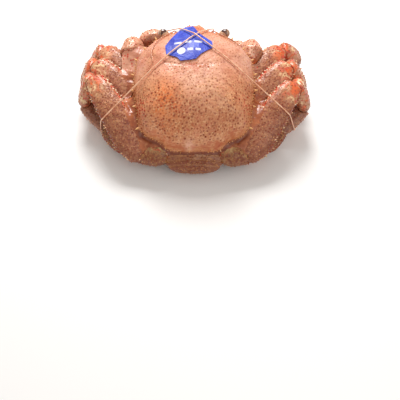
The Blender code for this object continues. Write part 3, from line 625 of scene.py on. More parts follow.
shell = Paint("carapace", coat_roughness=0.24)
patches, back, fine = shell.noise(14, 3, 0.6), shell.mask("back"), shell.noise(2.2, 3, 0.6)
front_tone = shell.mix(patches.climb(0.4, 0.62), (204, 132, 102), (220, 156, 130))
rear_tone = shell.mix(patches.climb(0.38, 0.62), (196, 102, 56), (218, 138, 88))
shell.ground = shell.mix(back, front_tone, rear_tone)
# Painted shade: the rear part of the carapace, turned away from the lamp, is laid darker brown.
shell.lay(shell.mask("low") * 0.5, (168, 92, 50))
# Partly painted highlight: the middle of the dome, where the lamp falls most, is laid pale, beside a small
# pale spot of the shell's own at the rear.
shell.lay(shell.mask("pale") * 0.95, (236, 182, 154))
blotches = shell.noise(5, 3, 0.62, 0.8)
shell.lay(blotches.climb(0.54, 0.66) * (0.2 + 0.2 * back), (180, 84, 48))
shell.lay(blotches.climb(0.46, 0.34) * (0.25 + 0.2 * back), (236, 174, 128))
shell.lay(shell.noise(9, 2, 0.5, 0.5).climb(0.54, 0.68) * 0.4, (214, 118, 92))
shell.lay(shell.mask("orange") * shell.noise(5).climb(0.2, 0.5) * 0.9, (244, 118, 36))
shell.lay(shell.mask("brow") * shell.noise(3).climb(0.3, 0.55) * 0.8, (178, 92, 48))
shell.lay(shell.mask("red") * 0.4, (218, 166, 118))
marks = shell.streaks(1.5)
shell.lay(marks.climb(0.56, 0.63) * (0.2 + 0.35 * back), (170, 66, 40))
shell.lay(marks.climb(0.43, 0.36) * 0.35, (238, 182, 138))
smooth_rim = 1 - shell.mask("bare")
# Painted highlight: pale spots scattered among the grains, like glints on small bumps.
shell.lay(shell.dots(2.4, 0.38, 0.55) * (0.15 + 0.6 * back) * smooth_rim, (240, 184, 134))
crowded = shell.noise(8, 2).climb(0.36, 0.6)
dark_dots = shell.dots(2.3, 0.46, 0.6) * (0.12 + 0.82 * back) * (0.25 + 0.75 * crowded) * smooth_rim
shell.lay(dark_dots, (148, 60, 26))
shell.lay(shell.mask("seam") * blotches.climb(0.4, 0.55) * 0.4, (160, 74, 44))
shell.lay(shell.mask("seam") * shell.dots(1.9, 0.5, 0.6) * 0.8, (132, 52, 30))
shell.lay(shell.mask("row") * shell.dots(2.0, 0.46, 0.6), (206, 92, 58))
shell.lay(shell.mask("row") * shell.dots(2.5, 0.42, 0.5), (246, 208, 176))
# Painted highlight: a pale ring round each grain.
shell.lay(shell.mask("highlight_ring") * (0.1 + 0.35 * back), (234, 176, 126))
shell.lay(shell.mask("spot") * 0.95, (138, 48, 22))
shell.lay(shell.mask("red") * shell.cells(2.4).climb(0.42, 0.3) * 0.8, (196, 48, 28))
shell.lay(shell.mask("rim") * shell.noise(3).climb(0.4, 0.55) * 0.6, (222, 158, 112))
# Painted shade under the edge: the shell below the rim is laid dark brown, with darker streaks.
shell.lay(shell.mask("under") * 0.8, (158, 88, 52))
shell.lay(shell.mask("under") * marks.climb(0.5, 0.6) * 0.6, (112, 50, 30))
wetness = 0.04 + 0.3 * patches.climb(0.45, 0.6)
fit(carapace, shell.finish(0.36 + 0.24 * fine, shell.noise(0.9, 3, 0.6), 0.3, wetness))
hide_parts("carapace")


def coat_paint(name, pale, dark, spine_foot, spine_tip, bead=(246, 222, 190)):
    """Grains, bristles, spines and beads, told apart by their kind: 0, 1, 2 and 3."""
    paint = Paint(name, coat=0.05, coat_roughness=0.2, specular=0.22)
    vary, kind, tip = paint.mask("vary"), paint.mask("kind"), paint.mask("tip")
    paint.ground = paint.mix(vary, pale, (218, 158, 108))
    paint.lay(paint.mask("dark"), dark)
    paint.lay(paint.mask("red") * 0.8, (176, 36, 18))
    paint.lay(paint.mask("orange") * 0.6, (186, 66, 24))
    paint.lay(kind.climb(0.4, 0.6), paint.mix(tip, (150, 78, 44), (212, 150, 98)))
    paint.lay(kind.climb(1.4, 1.6), paint.mix(tip.climb(0.02, 0.4), spine_foot, spine_tip))
    bead_tone = paint.mix(vary.climb(0.46, 0.52), (192, 46, 22), bead)
    paint.lay(kind.climb(2.4, 2.6), paint.mix(vary.climb(0.0, 0.02), (154, 70, 42), bead_tone))
    return paint.finish(0.36)


coat_material = coat_paint("carapace_coat", (218, 144, 100), (148, 60, 26), (204, 118, 60), (230, 176, 116))
fit(carapace_coat, coat_material)


# Walking legs. Each is four tubes of shell with soft skin between: upper leg, wrist, hand and toe.
# They are folded flat against each other; the shell is grained and bristly, with a spiny upper edge.

BODY_NODES = [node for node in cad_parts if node.split("_")[0] not in ("label", "tie", "antenna")]
# From how far another surface darkens a shell with painted shade, and how far over the floor the grains
# begin, in mm.
NEAR_TOUCH, FLOOR_GAP = 6.0, 1.5
# What sets the lower parts of a leg apart from the upper one: a narrower, plainer ridge with fewer beads.
LESS_RIDGE = {"ridge_from": 0.65, "ridge_share": 0.45, "bead_gap": 3.2}


def tree_over(nodes):
    """One search tree over the surfaces of several solids."""
    corners, faces = [], []
    for node in nodes:
        start, mesh = len(corners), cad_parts[node].data
        corners += [vertex.co.copy() for vertex in mesh.vertices]
        faces += [[start + k for k in polygon.vertices] for polygon in mesh.polygons]
    return BVHTree.FromPolygons(corners, faces)


body_tree = tree_over(BODY_NODES)


def crowding(points, outward):
    """How close another surface faces each place: 1 where it touches, 0 from NEAR_TOUCH mm on."""
    close = []
    for point, out in zip(points, outward):
        distance = body_tree.ray_cast(Vector(point + out * 0.6 * MM), Vector(out), NEAR_TOUCH * MM)[3]
        close.append(0.0 if distance is None else 1 - distance / (NEAR_TOUCH * MM))
    return np.array(close)


def copy_of(node, name):
    """A new piece with a solid's surface, its loose triangles joined."""
    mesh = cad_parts[node].data.copy()
    mesh.materials.clear()
    shape = bmesh.new()
    shape.from_mesh(mesh)
    bmesh.ops.remove_doubles(shape, verts=shape.verts, dist=0.000001)
    shape.to_mesh(mesh)
    shape.free()
    piece = new_piece(name, mesh)
    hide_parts(node)
    return piece


def modify(piece, kind, **settings):
    """Gives a piece a modifier and applies it."""
    bpy.context.view_layer.objects.active = piece
    modifier = piece.modifiers.new("change", kind)
    for name, value in settings.items():
        setattr(modifier, name, value)
    bpy.ops.object.modifier_apply(modifier="change")


def shell_of(node, voxel=0.7, rounds=30, swell=0.3, rough=0.24):
    """The outside of a solid, evened out and rounded, with the small unevenness of a grown shell."""
    piece = copy_of(node, node + "_shell")
    modify(piece, "REMESH", mode="VOXEL", voxel_size=voxel * MM)
    modify(piece, "SMOOTH", iterations=rounds)
    modify(piece, "DISPLACE", strength=swell * MM, mid_level=0)
    points, outward = read_points(piece)
    heights = rough * (unevenness(points, 5, 4) + 0.6 * unevenness(points, 1.9, 5))
    write_points(piece, points + outward * (heights * MM)[:, None])
    piece.data.shade_smooth()
    return piece


def meeting(first, second):
    """The middle of where the boxes of two solids overlap."""
    (low_a, high_a), (low_b, high_b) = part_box(first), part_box(second)
    return np.array([(max(a, b) + min(c, d)) / 2 for a, b, c, d in zip(low_a, low_b, high_a, high_b)])


def roll_map(skin, spots, corner, size=0.5):
    """Where spots come when their limb's shell is slit lengthwise and rolled out in one cell of the map."""
    middle = skin.mean(0)
    axes = np.linalg.svd(skin[::7] - middle, full_matrices=False)[2]
    ends = (skin - middle) @ axes[0]
    along, across, through = ((spots - middle) @ axes.T).T
    turn = np.arctan2(through, across) / (2 * math.pi) + 0.5
    run = (along - ends.min()) / np.ptp(ends)
    return (np.stack((turn, run), 1) * 0.94 + 0.03) * size + np.array(corner)


def dress(piece, knee, lean, lie, corner, seed, gap=2.35, grain=0.5, ridge_from=0.4, knee_reach=17,
          edge_row=False, length=1.15, ridge_share=1.0, shade_share=1.0, bead_gap=2.2):
    """Gives a limb's shell its masks, and returns its grains, bristles, edge spines and beads."""
    skin, skin_outward = read_points(piece)
    lean = np.array(lean) / np.linalg.norm(lean)
    draw = np.random.default_rng(seed)

    def tones_at(places, facing):
        return {"ridge": step(facing @ lean, ridge_from, 0.85), "outer": step(facing @ lean, -0.55, -0.9),
                "knee": bell(np.linalg.norm(places - knee, axis=1), knee_reach * MM),
                "shade": shade_share * step(facing[:, 1], 0.1, -0.8),
                "low": step(places[:, 1], -20 * MM, -60 * MM)}

    def grain_gap(places, facing):
        under = step(facing[:, 2], -0.1, -0.7)
        gaps = (gap * (1 - 0.2 * tones_at(places, facing)["ridge"] + 0.35 * under)) * MM
        return np.where(places[:, 2] < FLOOR_GAP * MM, NOWHERE, gaps)

    def row_gap(places, facing):
        tones = tones_at(places, facing)
        edge = (tones["ridge"] > 0.45) | (edge_row & (tones["outer"] > 0.5))
        return np.where(edge & (places[:, 2] > 5 * MM), bead_gap * MM, NOWHERE)

    spots, facing = scatter(piece, grain_gap, seed)
    free = crowding(spots, facing) < 0.72
    spots, facing = spots[free], facing[free]
    count = len(spots)
    tones = tones_at(spots, facing)
    lies = np.tile(lie, (count, 1)) + draw.normal(0, 0.15, (count, 3))
    width = grain * draw.uniform(0.65, 1.3, count) * MM
    vary = draw.random(count)
    dark = (vary < 0.5) * draw.uniform(0.5, 1, count)
    masks = {"vary": vary, "dark": dark, "red": tones["knee"] * 0.6}
    flat = roll_map(skin, spots, corner)
    made = [stamp("grains", GRAIN, spots, facing, lies, width, width * 0.9, flat, masks | {"kind": 0.0}),
            tuft("bristles", spots, facing, lies, 4, width, np.full(count, length * MM), 0.6, flat, masks,
                 draw)]
    rows, row_facing = scatter(piece, row_gap, seed + 50)
    free = crowding(rows, row_facing) < 0.6
    rows, row_facing = rows[free], row_facing[free]
    spiny = draw.random(len(rows)) < 0.3
    for chosen, kind, shape in ((spiny, 2.0, SPINE), (~spiny, 3.0, GRAIN)):
        feet, out = rows[chosen], row_facing[chosen]
        count = len(feet)
        if count == 0:
            continue
        tones = tones_at(feet, out)
        ridge = np.maximum(tones["ridge"], 0.6 * tones["outer"])
        lies = np.tile(lie, (count, 1))
        if kind == 2:
            width = draw.uniform(0.5, 0.72, count)
            height = draw.uniform(1.5, 2.6, count) * (0.6 + 0.4 * ridge)
            out = out + 0.35 * lies + draw.normal(0, 0.1, (count, 3))
        else:
            width = draw.uniform(0.6, 1.4, count) * (0.5 + 0.5 * ridge) * (0.4 + 0.6 * ridge_share)
            height = width * 1.1
        vary = draw.random(count) * (tones["ridge"] >= tones["outer"]) * (0.55 + 0.45 * ridge_share)
        made.append(stamp("rows", shape, feet, out, lies, width * MM, height * MM,
                          roll_map(skin, feet, corner), {"vary": vary, "kind": kind}))
    nearest, near = nearest_of(spots, skin)
    tones = tones_at(skin, skin_outward)
    tones["ridge"] = tones["ridge"] * ridge_share
    set_masks(piece, tones | {"spot": bell(near, 0.85) * (dark[nearest] if len(dark) else 0),
                              "highlight_ring": bell(near - 1.2, 0.45), "crowd": crowding(skin, skin_outward)})
    return made


def limb_paint(name, face, rosy, blotch, spot, edge, knee_dark, knee_pale, shade, speckle=0.6,
               knee_base=(206, 140, 100)):
    """Shell of a limb: mottled faces, a red edge with cream flecks, a bright bend, and painted shade in the
    creases and towards the rear.
    """
    paint = Paint(name, coat_roughness=0.12)
    fine, streaks = paint.noise(1.6, 3, 0.6), paint.noise(1.8, 2, 0.55, 1.8)
    paint.ground = paint.mix(paint.noise(9, 3, 0.6).climb(0.4, 0.6), face, rosy)
    paint.lay(paint.noise(4.2, 3, 0.6).climb(0.53, 0.66) * 0.6, blotch)
    # Painted highlight: a paler ring round each grain.
    paint.lay(paint.mask("highlight_ring") * 0.25, blotch)
    paint.lay(streaks.climb(0.56, 0.62) * speckle, spot)
    paint.lay(streaks.climb(0.42, 0.37) * speckle, blotch)
    paint.lay(paint.dots(2.6, 0.4, 0.6) * speckle, blotch)
    paint.lay(paint.dots(2.3, 0.42, 0.6) * speckle, spot)
    # Painted shade on faces turned to the rear and on the rear part of each limb.
    paint.lay(paint.mask("shade") * 0.45, shade)
    paint.lay(paint.mask("low") * 0.2, shade)
    paint.lay(paint.mask("spot") * 0.7, spot)
    knee, patch = paint.mask("knee"), paint.noise(4.0, 2, 0.5, 0.8)
    bend = knee.climb(0.1, 0.5)
    paint.lay(knee.climb(0.12, 0.5) * 0.8, knee_base)
    paint.lay(bend * patch.climb(0.55, 0.6) * 0.85, knee_dark)
    paint.lay(bend * patch.climb(0.46, 0.4) * 0.9, knee_pale)
    paint.lay(bend * paint.noise(3.4, 2, 0.5, 0.8).climb(0.57, 0.61) * 0.85, (198, 66, 40))
    ridge = paint.mask("ridge")
    paint.lay(ridge.climb(0.05, 0.6) * (0.35 + 0.6 * paint.noise(4).climb(0.38, 0.56)), edge)
    flecks = paint.noise(2.0, 2, 0.5, 0.8).climb(0.5, 0.56)
    paint.lay(ridge.climb(0.2, 0.8) * flecks * 0.95, (248, 222, 190))
    paint.lay(paint.mask("outer") * streaks.climb(0.4, 0.55) * 0.7, (136, 44, 26))
    # Painted shade in the creases, where another piece comes close.
    paint.lay(paint.mask("crowd").climb(0.2, 0.95) * 0.85, (112, 44, 24))
    paint.lay(paint.mask("fingertip").climb(0.35, 0.65) * 0.9, (84, 44, 32))
    # Painted shade in brown on part of the right wrist, with a red patch of the shell's own in its middle.
    cuff = paint.mask("cuff")
    paint.lay(cuff.climb(0.2, 0.6) * 0.75, (156, 84, 50))
    paint.lay(cuff.climb(0.5, 0.8) * patch.climb(0.4, 0.5), (214, 74, 30))
    return paint.finish(0.34 + 0.22 * fine, paint.noise(0.9, 3, 0.6), 0.32, 0.15 + 0.6 * ridge + 0.25 * knee)


leg_paint = limb_paint("leg_shell", (166, 92, 54), (178, 108, 74), (208, 150, 108), (124, 46, 26),
                       (206, 56, 24), (224, 92, 28), (236, 196, 146), (118, 56, 28), speckle=0.8)
hip_paint = limb_paint("leg_hip_shell", (148, 78, 40), (166, 98, 54), (196, 154, 94), (104, 32, 14),
                       (186, 66, 32), (158, 98, 50), (206, 178, 122), (122, 54, 18), speckle=0.9,
                       knee_base=(196, 160, 106))
hand_paint = limb_paint("leg_hand_shell", (172, 106, 80), (192, 134, 108), (206, 160, 126), (122, 52, 36),
                        (186, 88, 60), (210, 108, 62), (228, 182, 146), (130, 72, 48), speckle=0.5)
leg_coat_paint = coat_paint("leg_coat", (206, 136, 92), (138, 46, 24), (204, 62, 24), (244, 204, 156))

# Which way the bristles lie and which way the spiny edge looks, on each part of a left leg.
LIE = {"upper": (-0.7, 0.75, 0.45), "wrist": (-0.15, -0.1, -1), "hand": (0.8, -0.5, -0.3),
       "toe": (0.9, 0, 0.1)}
LEAN = {"upper": (0.88, 0.44, 0.16), "wrist": (-0.5, 0.75, 0.4), "hand": (-0.75, -0.3, -0.5),
        "toe": (0, -0.4, -1)}
# How many rounds of smoothing each part takes, how far the bright knee patch reaches on each pair of legs,
# in mm, where it is on the last pair, and which quarter of the OFBake map each part of a limb has.
ROUNDS = {"upper": 30, "wrist": 24, "hand": 18, "toe": 10, "arm": 26, "palm": 20, "finger": 10}
KNEE_REACH = {2: 16, 3: 17, 4: 16, 5: 11}
HIP_PLACE = (30, -50, 26)
CELLS = ((0, 0), (0.5, 0), (0, 0.5), (0.5, 0.5))
SIDES = (("left", 1), ("right", -1))
for side, sign in SIDES:
    turn = np.array((sign, 1, 1))
    for number in (2, 3, 4, 5):
        leg = f"leg_{side}_{number}"
        knee = meeting(leg + "_upper", leg + "_wrist") + np.array((0, 0, 4 * MM))
        if number == 5:
            knee = np.array(HIP_PLACE) * (-sign, 1, 1) * MM
        coat = []
        for k, part in enumerate(("upper", "wrist", "hand", "toe")):
            piece = shell_of(f"{leg}_{part}", rounds=ROUNDS[part])
            settings = {"edge_row": True} if part == "upper" else LESS_RIDGE
            coat += dress(piece, knee, np.array(LEAN[part]) * turn, np.array(LIE[part]) * turn, CELLS[k],
                          number * 10 + k + (100 if sign < 0 else 0), knee_reach=KNEE_REACH[number],
                          **settings)
            if part in ("upper", "wrist"):
                fit(piece, hip_paint if number == 5 else leg_paint)
            else:
                fit(piece, hand_paint)
        fit(joined(leg + "_coat", coat), leg_coat_paint)


# Claw legs. An arm, a swollen wrist and a palm with a fixed and a moving finger, folded before the face.
# Their shell is thicker and paler than that of the legs, with bigger red grains and blunt spines.

claw_paint = limb_paint("claw_shell", (208, 136, 104), (222, 162, 134), (228, 178, 134), (190, 66, 42),
                        (222, 152, 120), (206, 92, 30), (226, 168, 112), (146, 76, 40), speckle=0.35,
                        knee_base=(178, 108, 74))
claw_coat_paint = coat_paint("claw_coat", (212, 140, 108), (176, 52, 36), (196, 72, 40), (240, 204, 160),
                             bead=(238, 200, 176))
CLAW_LEAN, CLAW_LIE = (-0.3, -0.2, 1), (0.6, 0.6, -0.4)
# The middle and radius of the patch on the right wrist, painted shade in brown with a red patch of the
# shell's own, and the radius of the brown fingertips.
CUFF_PLACE, CUFF_REACH, TIP_REACH = (57.5, 36, -8), 8, 7
for side, sign in SIDES:
    claw = f"claw_{side}"
    turn = np.array((sign, 1, 1))
    bend = meeting(claw + "_arm", claw + "_wrist") + np.array((0, 0, 3 * MM))
    coat = []
    for k, part in enumerate(("arm", "wrist", "palm", "finger")):
        piece = shell_of(f"{claw}_{part}", rounds=ROUNDS[part])
        coat += dress(piece, bend, np.array(CLAW_LEAN) * turn, np.array(CLAW_LIE) * turn, CELLS[k],
                      300 + k + (10 if sign < 0 else 0), gap=2.5, grain=0.55, ridge_from=0.75, knee_reach=12,
                      length=0.9, ridge_share=0.4, shade_share=1.9, bead_gap=4)
        skin = read_points(piece)[0]
        if part in ("palm", "finger"):
            end = skin[np.argmax(np.linalg.norm(skin - bend, axis=1))]
            set_masks(piece, {"fingertip": bell(np.linalg.norm(skin - end, axis=1), TIP_REACH * MM)})
        if part == "wrist":
            off = np.linalg.norm(skin - np.array(CUFF_PLACE) * MM, axis=1)
            set_masks(piece, {"cuff": bell(off, CUFF_REACH * MM)})
        fit(piece, claw_paint)
    fit(joined(claw + "_coat", coat), claw_coat_paint)


# Underside. Breast plate, outer jaw limbs and the narrow tail, which folds forward under the breast.
# This shell is thinner and pale, jointed across in plates, with short hair on the parts that face outwards.

TAIL_LINE = np.array(((-46, -17.5), (-61, -17), (-68, -21.5), (-66.5, -30), (-55, -35.6), (14, -34.6)))


def along_line(places, line):
    """How far along a line of points each place is, in mm, by the nearest point of the line."""
    best, run, nearest = np.full(len(places), 1e9), 0.0, np.zeros(len(places))
    for a, b in zip(line[:-1], line[1:]):
        length = np.linalg.norm(b - a)
        share = np.clip(((places - a) @ (b - a)) / length**2, 0, 1)
        gap = np.linalg.norm(places - a - share[:, None] * (b - a), axis=1)
        nearest = np.where(gap < best, run + share * length, nearest)
        best = np.minimum(gap, best)
        run += length
    return nearest


def groove(piece, seams, width, depth):
    """Cuts grooves where seams, the way to the nearest one in mm, is near 0, and keeps them as a mask."""
    points, outward = read_points(piece)
    cut = bell(seams, width)
    write_points(piece, points - outward * (cut * depth * MM)[:, None])
    set_masks(piece, {"seam": cut, "crowd": crowding(points, outward)})


def seam_gaps(run, seams):
    return np.min([np.abs(run - seam) for seam in seams], axis=0)


plate = Paint("underside", coat=0.3, coat_roughness=0.2)
fine, streaks, brown_and_shade = plate.noise(2, 3, 0.6), plate.noise(1.6, 3, 0.6, 1.2), plate.mask("brown_and_shade")
plate.ground = plate.mix(plate.noise(11, 3, 0.6).climb(0.4, 0.62), (200, 148, 104), (216, 170, 130))
plate.lay(plate.noise(4, 3).climb(0.54, 0.66) * 0.5, (204, 112, 62))
# Dark brown, partly the shell's own and partly painted shade: at the rear of the tail, the upper part of the
# breast under the carapace and the front of the outer jaws.
plate.lay(brown_and_shade * 0.95, (130, 60, 14))
plate.lay(streaks.climb(0.52, 0.62) * (0.25 + 0.45 * brown_and_shade), (124, 46, 22))
plate.lay(streaks.climb(0.44, 0.36) * brown_and_shade * 0.5, (206, 142, 80))
plate.lay(plate.cells(2.1).climb(0.34, 0.24) * brown_and_shade * 0.7, (104, 30, 18))
plate.lay(plate.mask("seam") * (1 - brown_and_shade) * 0.5, (130, 70, 42))
plate.lay(plate.mask("seam") * brown_and_shade * 0.35, (196, 138, 88))
# Painted shade where another piece comes close.
plate.lay(plate.mask("crowd").climb(0.3, 0.95) * 0.7, (120, 58, 34))
plate_paint = plate.finish(0.36 + 0.2 * fine, plate.noise(1.1, 3, 0.6), 0.22)


def hair_over(piece, name, gap, lie, seed, length):
    """Grains and bristles over a piece, apart from where it nears the floor or another piece."""
    skin = read_points(piece)[0]
    draw = np.random.default_rng(seed)
    spots, facing = scatter(piece, lambda p, n: np.where(p[:, 2] > 3 * MM, gap * MM, NOWHERE), seed)
    free = crowding(spots, facing) < 0.5
    spots, facing = spots[free], facing[free]
    count = len(spots)
    vary = draw.random(count)
    masks = {"vary": vary, "dark": (vary < 0.7) * 1.0}
    width = draw.uniform(0.3, 0.6, count) * MM
    lies = np.tile(lie, (count, 1)) + draw.normal(0, 0.25, (count, 3))
    flat = roll_map(skin, spots, (0, 0), 1.0)
    made = [stamp("grains", GRAIN, spots, facing, lies, width, width * 0.8, flat, masks | {"kind": 0.0}),
            tuft("bristles", spots, facing, lies, 5, width, np.full(count, length * MM), 0.5, flat, masks,
                 draw)]
    fit(joined(name, made), leg_coat_paint)


# How much broader than its solid the tail's base is. Its hair keeps to the solid's width.
TAIL_WIDEN = 1.14
# Where the seams run across the tail, in mm along its line, across the breast and across the outer jaws.
TAIL_SEAMS = {"tail_base": (4.5, 10, 15.5, 20.5, 25.5, 31.5), "tail_flap": (44, 54, 64, 76, 90, 104)}
BREAST_SEAMS, JAW_SEAMS = (-38, -24, -10, 4, 18, 31), (29, 42)
for node, seams in TAIL_SEAMS.items():
    piece = shell_of(node, rounds=24, rough=0.35)
    places = to_body(read_points(piece)[0])
    bowed = along_line(places[:, 1:], TAIL_LINE) - 0.004 * places[:, 0] ** 2
    bowed += 0.9 * unevenness(places * MM, 7, 9)
    groove(piece, seam_gaps(bowed, seams), 0.7, 0.7)
    set_masks(piece, {"brown_and_shade": step(places[:, 1], -54, -66)})
    fit(piece, plate_paint)
    if node == "tail_base":
        hair_over(piece, "tail_coat", 1.9, (0, -0.5, -1), 400, 1.4)
        write_points(piece, read_points(piece)[0] * (TAIL_WIDEN, 1, 1))

breast = shell_of("breast", voxel=0.9, rounds=16)
places = to_body(read_points(breast)[0])
fan = places[:, 1] + 0.25 * np.abs(places[:, 0])
groove(breast, np.where(places[:, 2] < -24, seam_gaps(fan, BREAST_SEAMS), 9), 1.0, 0.7)
set_masks(breast, {"brown_and_shade": step(places[:, 2], -30, -22)})
fit(breast, plate_paint)

for side, seed in (("left", 414), ("right", 415)):
    jaw = shell_of(f"maxilliped_{side}", voxel=0.6, rounds=14)
    places = to_body(read_points(jaw)[0])
    groove(jaw, seam_gaps(places[:, 1], JAW_SEAMS), 0.7, 0.5)
    set_masks(jaw, {"brown_and_shade": 0.3 * step(places[:, 1], 30, 48)})
    fit(jaw, plate_paint)
    hair_over(jaw, f"jaw_coat_{side}", 1.7, (0, -0.2, -1), seed, 1.3)


# Glaze. A skin of dried cooking juice and ice fills the narrow channels between the carapace, legs and tail.
# It is smooth, brown and glossy, clings to the edges on both sides and sags a little between them.

# The film is laid on a grid, with its cell in mm, looking down at a pitch in degrees.
GLAZE_GRID, GLAZE_PITCH = 1.0, 62
# How wide a channel the film spans, in cells to each side: between limbs, at the tail and at the left claw.
LIMB_FILL, TAIL_FILL, CLAW_FILL = 6.5, 30, 14
# What the film leaves out, in mm: shallow places, sudden drops, and all that is forward of its front end.
LEAST_PIT, MOST_DROP, FRONT_END = 0.4, 6, 54
# Scraps of fewer cells are left out. The rest is smoothed in rounds and given a wall in mm.
SMALLEST_ISLAND, FILM_ROUNDS, FILM_WALL = 30, 10, 0.6
# How far the grid looks for the shell, in metres.
FAR = 0.3
tilt = math.radians(GLAZE_PITCH)
VIEW_DOWN = np.array((0, math.cos(tilt), -math.sin(tilt)))
VIEW_UP = np.array((0, math.sin(tilt), math.cos(tilt)))
rows, columns = np.arange(-86, 66, GLAZE_GRID) * MM, np.arange(-82, 82.1, GLAZE_GRID) * MM
outer_tree = tree_over([node for node in BODY_NODES if not node.startswith(("eye", "maxilliped"))])
starts = columns[None, :, None] * np.array((1, 0, 0)) + rows[:, None, None] * VIEW_UP
starts = starts + np.array((0, 0, 0.03)) - 0.12 * VIEW_DOWN
depth = np.full(starts.shape[:2], FAR)
for at in np.ndindex(depth.shape):
    distance = outer_tree.ray_cast(Vector(starts[at]), Vector(VIEW_DOWN), FAR)[3]
    depth[at] = FAR if distance is None else distance


def spread(field, radius, pick, outside):
    """Each cell takes the smallest or largest value within radius cells of it."""
    reach = int(radius)
    padded = np.pad(field, reach, constant_values=outside)
    high, wide = field.shape
    result = field.copy()
    for i in range(-reach, reach + 1):
        for k in range(-reach, reach + 1):
            if i * i + k * k <= radius * radius:
                result = pick(result, padded[reach + i:reach + i + high, reach + k:reach + k + wide])
    return result


def opened(field, radius, outside):
    """Levels out what is narrower than radius cells to each side."""
    return spread(spread(field, radius, np.minimum, outside), radius, np.maximum, outside)


level, tail_level, claw_level = (opened(depth, fill, FAR) for fill in (LIMB_FILL, TAIL_FILL, CLAW_FILL))
by_tail = (rows[:, None] < -57 * MM) & (np.abs(columns) < 62 * MM)
by_claw = (rows[:, None] > 16 * MM) & (columns < -24 * MM)
level = np.where(by_tail, tail_level, np.where(by_claw, claw_level, level))
pit = np.clip(depth - level, 0, 0.012)
smooth = level
high, wide = level.shape
for _ in range(4):
    padded = np.pad(smooth, 1, mode="edge")
    near = sum(padded[i:i + high, k:k + wide] for i in range(3) for k in range(3)) / 9
    smooth = np.where(np.abs(near - level) < 0.004, near, level)
film_depth = np.maximum(smooth, level - 0.4 * MM) + 0.35 * MM + 0.16 * pit
wet = spread((pit > LEAST_PIT * MM) & (level < FAR - 0.05), 1.5, np.maximum, False)
wet &= rows[:, None] < FRONT_END * MM
cells = wet[:-1, :-1] & wet[1:, :-1] & wet[:-1, 1:] & wet[1:, 1:]
for i, k in ((1, 0), (0, 1), (1, 1)):
    drop = np.abs(film_depth[:-1, :-1] - film_depth[i:high - 1 + i, k:wide - 1 + k])
    cells &= drop < MOST_DROP * MM
by_face = ((rows[:, None] > 16 * MM) & (np.abs(columns) > 24 * MM))[:-1, :-1]
cells = np.where(by_face, opened(cells, 4.5, False), opened(cells, 1.5, False))
places = starts + VIEW_DOWN * film_depth[:, :, None]
shape = bmesh.new()
corners = {}
for i, k in zip(*np.nonzero(cells)):
    ring = []
    for at in ((i, k), (i, k + 1), (i + 1, k + 1), (i + 1, k)):
        if at not in corners:
            corners[at] = shape.verts.new(places[at])
        ring.append(corners[at])
    shape.faces.new(ring)
scraps, seen = [], set()
for face in shape.faces:
    if face in seen:
        continue
    island, edge_faces = [], [face]
    seen.add(face)
    while edge_faces:
        island.append(edge_faces.pop())
        for edge in island[-1].edges:
            fresh = [other for other in edge.link_faces if other not in seen]
            seen.update(fresh)
            edge_faces += fresh
    if len(island) < SMALLEST_ISLAND:
        scraps += island
bmesh.ops.delete(shape, geom=scraps, context="FACES")
mesh = bpy.data.meshes.new("glaze")
shape.to_mesh(mesh)
shape.free()
film_piece = new_piece("glaze", mesh)
modify(film_piece, "SMOOTH", iterations=FILM_ROUNDS)
modify(film_piece, "SOLIDIFY", thickness=FILM_WALL * MM, offset=-1)
modify(film_piece, "SUBSURF", levels=1, render_levels=1)
film_piece.data.shade_smooth()
points, outward = read_points(film_piece)
sag = 0.35 * unevenness(points, 4, 11) + 0.15 * unevenness(points, 1.6, 12)
write_points(film_piece, points + outward * (sag * MM)[:, None])
points = read_points(film_piece)[0]
x, y, z = to_body(points).T
share = np.hypot(x, y) / smooth_reach(np.degrees(np.arctan2(x, y)))
set_masks(film_piece, {"claw": step(points[:, 1] / MM, 12, 20), "tail": step(points[:, 1] / MM, -58, -64),
                       "shadow": bell(share - 1.035, 0.03) * step(y, -34, -44)})

glaze = Paint("glaze", coat=0.2, coat_roughness=0.2)
cloudy, by_claws, by_tail = glaze.noise(7, 3, 0.6), glaze.mask("claw"), glaze.mask("tail")
glaze.ground = glaze.mix(cloudy.climb(0.38, 0.62), (146, 70, 32), (180, 102, 60))
glaze.lay(glaze.noise(2.5, 3, 0.6).climb(0.56, 0.66) * 0.5, (202, 136, 86))
glaze.lay(by_claws * 0.85, glaze.mix(cloudy.climb(0.4, 0.6), (196, 132, 104), (214, 156, 128)))
glaze.lay(by_claws * glaze.dots(2.6, 0.46, 0.7), (190, 66, 44))
# Partly painted shade: the film is laid darker by the tail, as the tail is.
glaze.lay(by_tail * 0.5, (128, 62, 32))
glaze.lay(by_tail * glaze.dots(2.0, 0.42, 0.6) * 0.7, (96, 32, 20))
glaze.lay(by_tail * glaze.dots(2.3, 0.36, 0.5) * 0.6, (206, 150, 96))
glaze.lay(glaze.mask("shadow") * 0.8, (108, 42, 14))
fit(film_piece, glaze.finish(0.36, glaze.noise(3, 2), 0.3))


# Eyes. A dull dark ball on a short stalk of shell, which lies in a notch of the front edge. To each side of
# its dark band the ball is laid pale tan, a painted reflection.

stalk_paint = limb_paint("eye_stalk", (186, 134, 98), (200, 156, 120), (206, 176, 140), (130, 66, 44),
                         (190, 120, 84), (186, 110, 70), (214, 176, 136), (150, 100, 70), speckle=0.3)
ball = Paint("eye", coat=0.7, coat_roughness=0.12)
dark_tone = ball.mix(ball.noise(2.2, 2).climb(0.35, 0.7), (52, 24, 15), (96, 52, 32))
# Painted reflection: the ball is pale tan outside its dark band, for the pale sheen at the edge of a glossy
# eye.
ball.ground = ball.mix(ball.noise(1.2, 3, 0.6).climb(0.4, 0.6), (150, 112, 84), (188, 152, 122))
ball.lay(ball.mask("dark"), dark_tone)
ball_paint = ball.finish(0.3, ball.cells(0.35), 0.03)
# The right ball's middle in the body's frame, and its radius, in mm.
EYE_PLACE, EYE_RADIUS = (28.4, 50.2, 10.2), 4.15
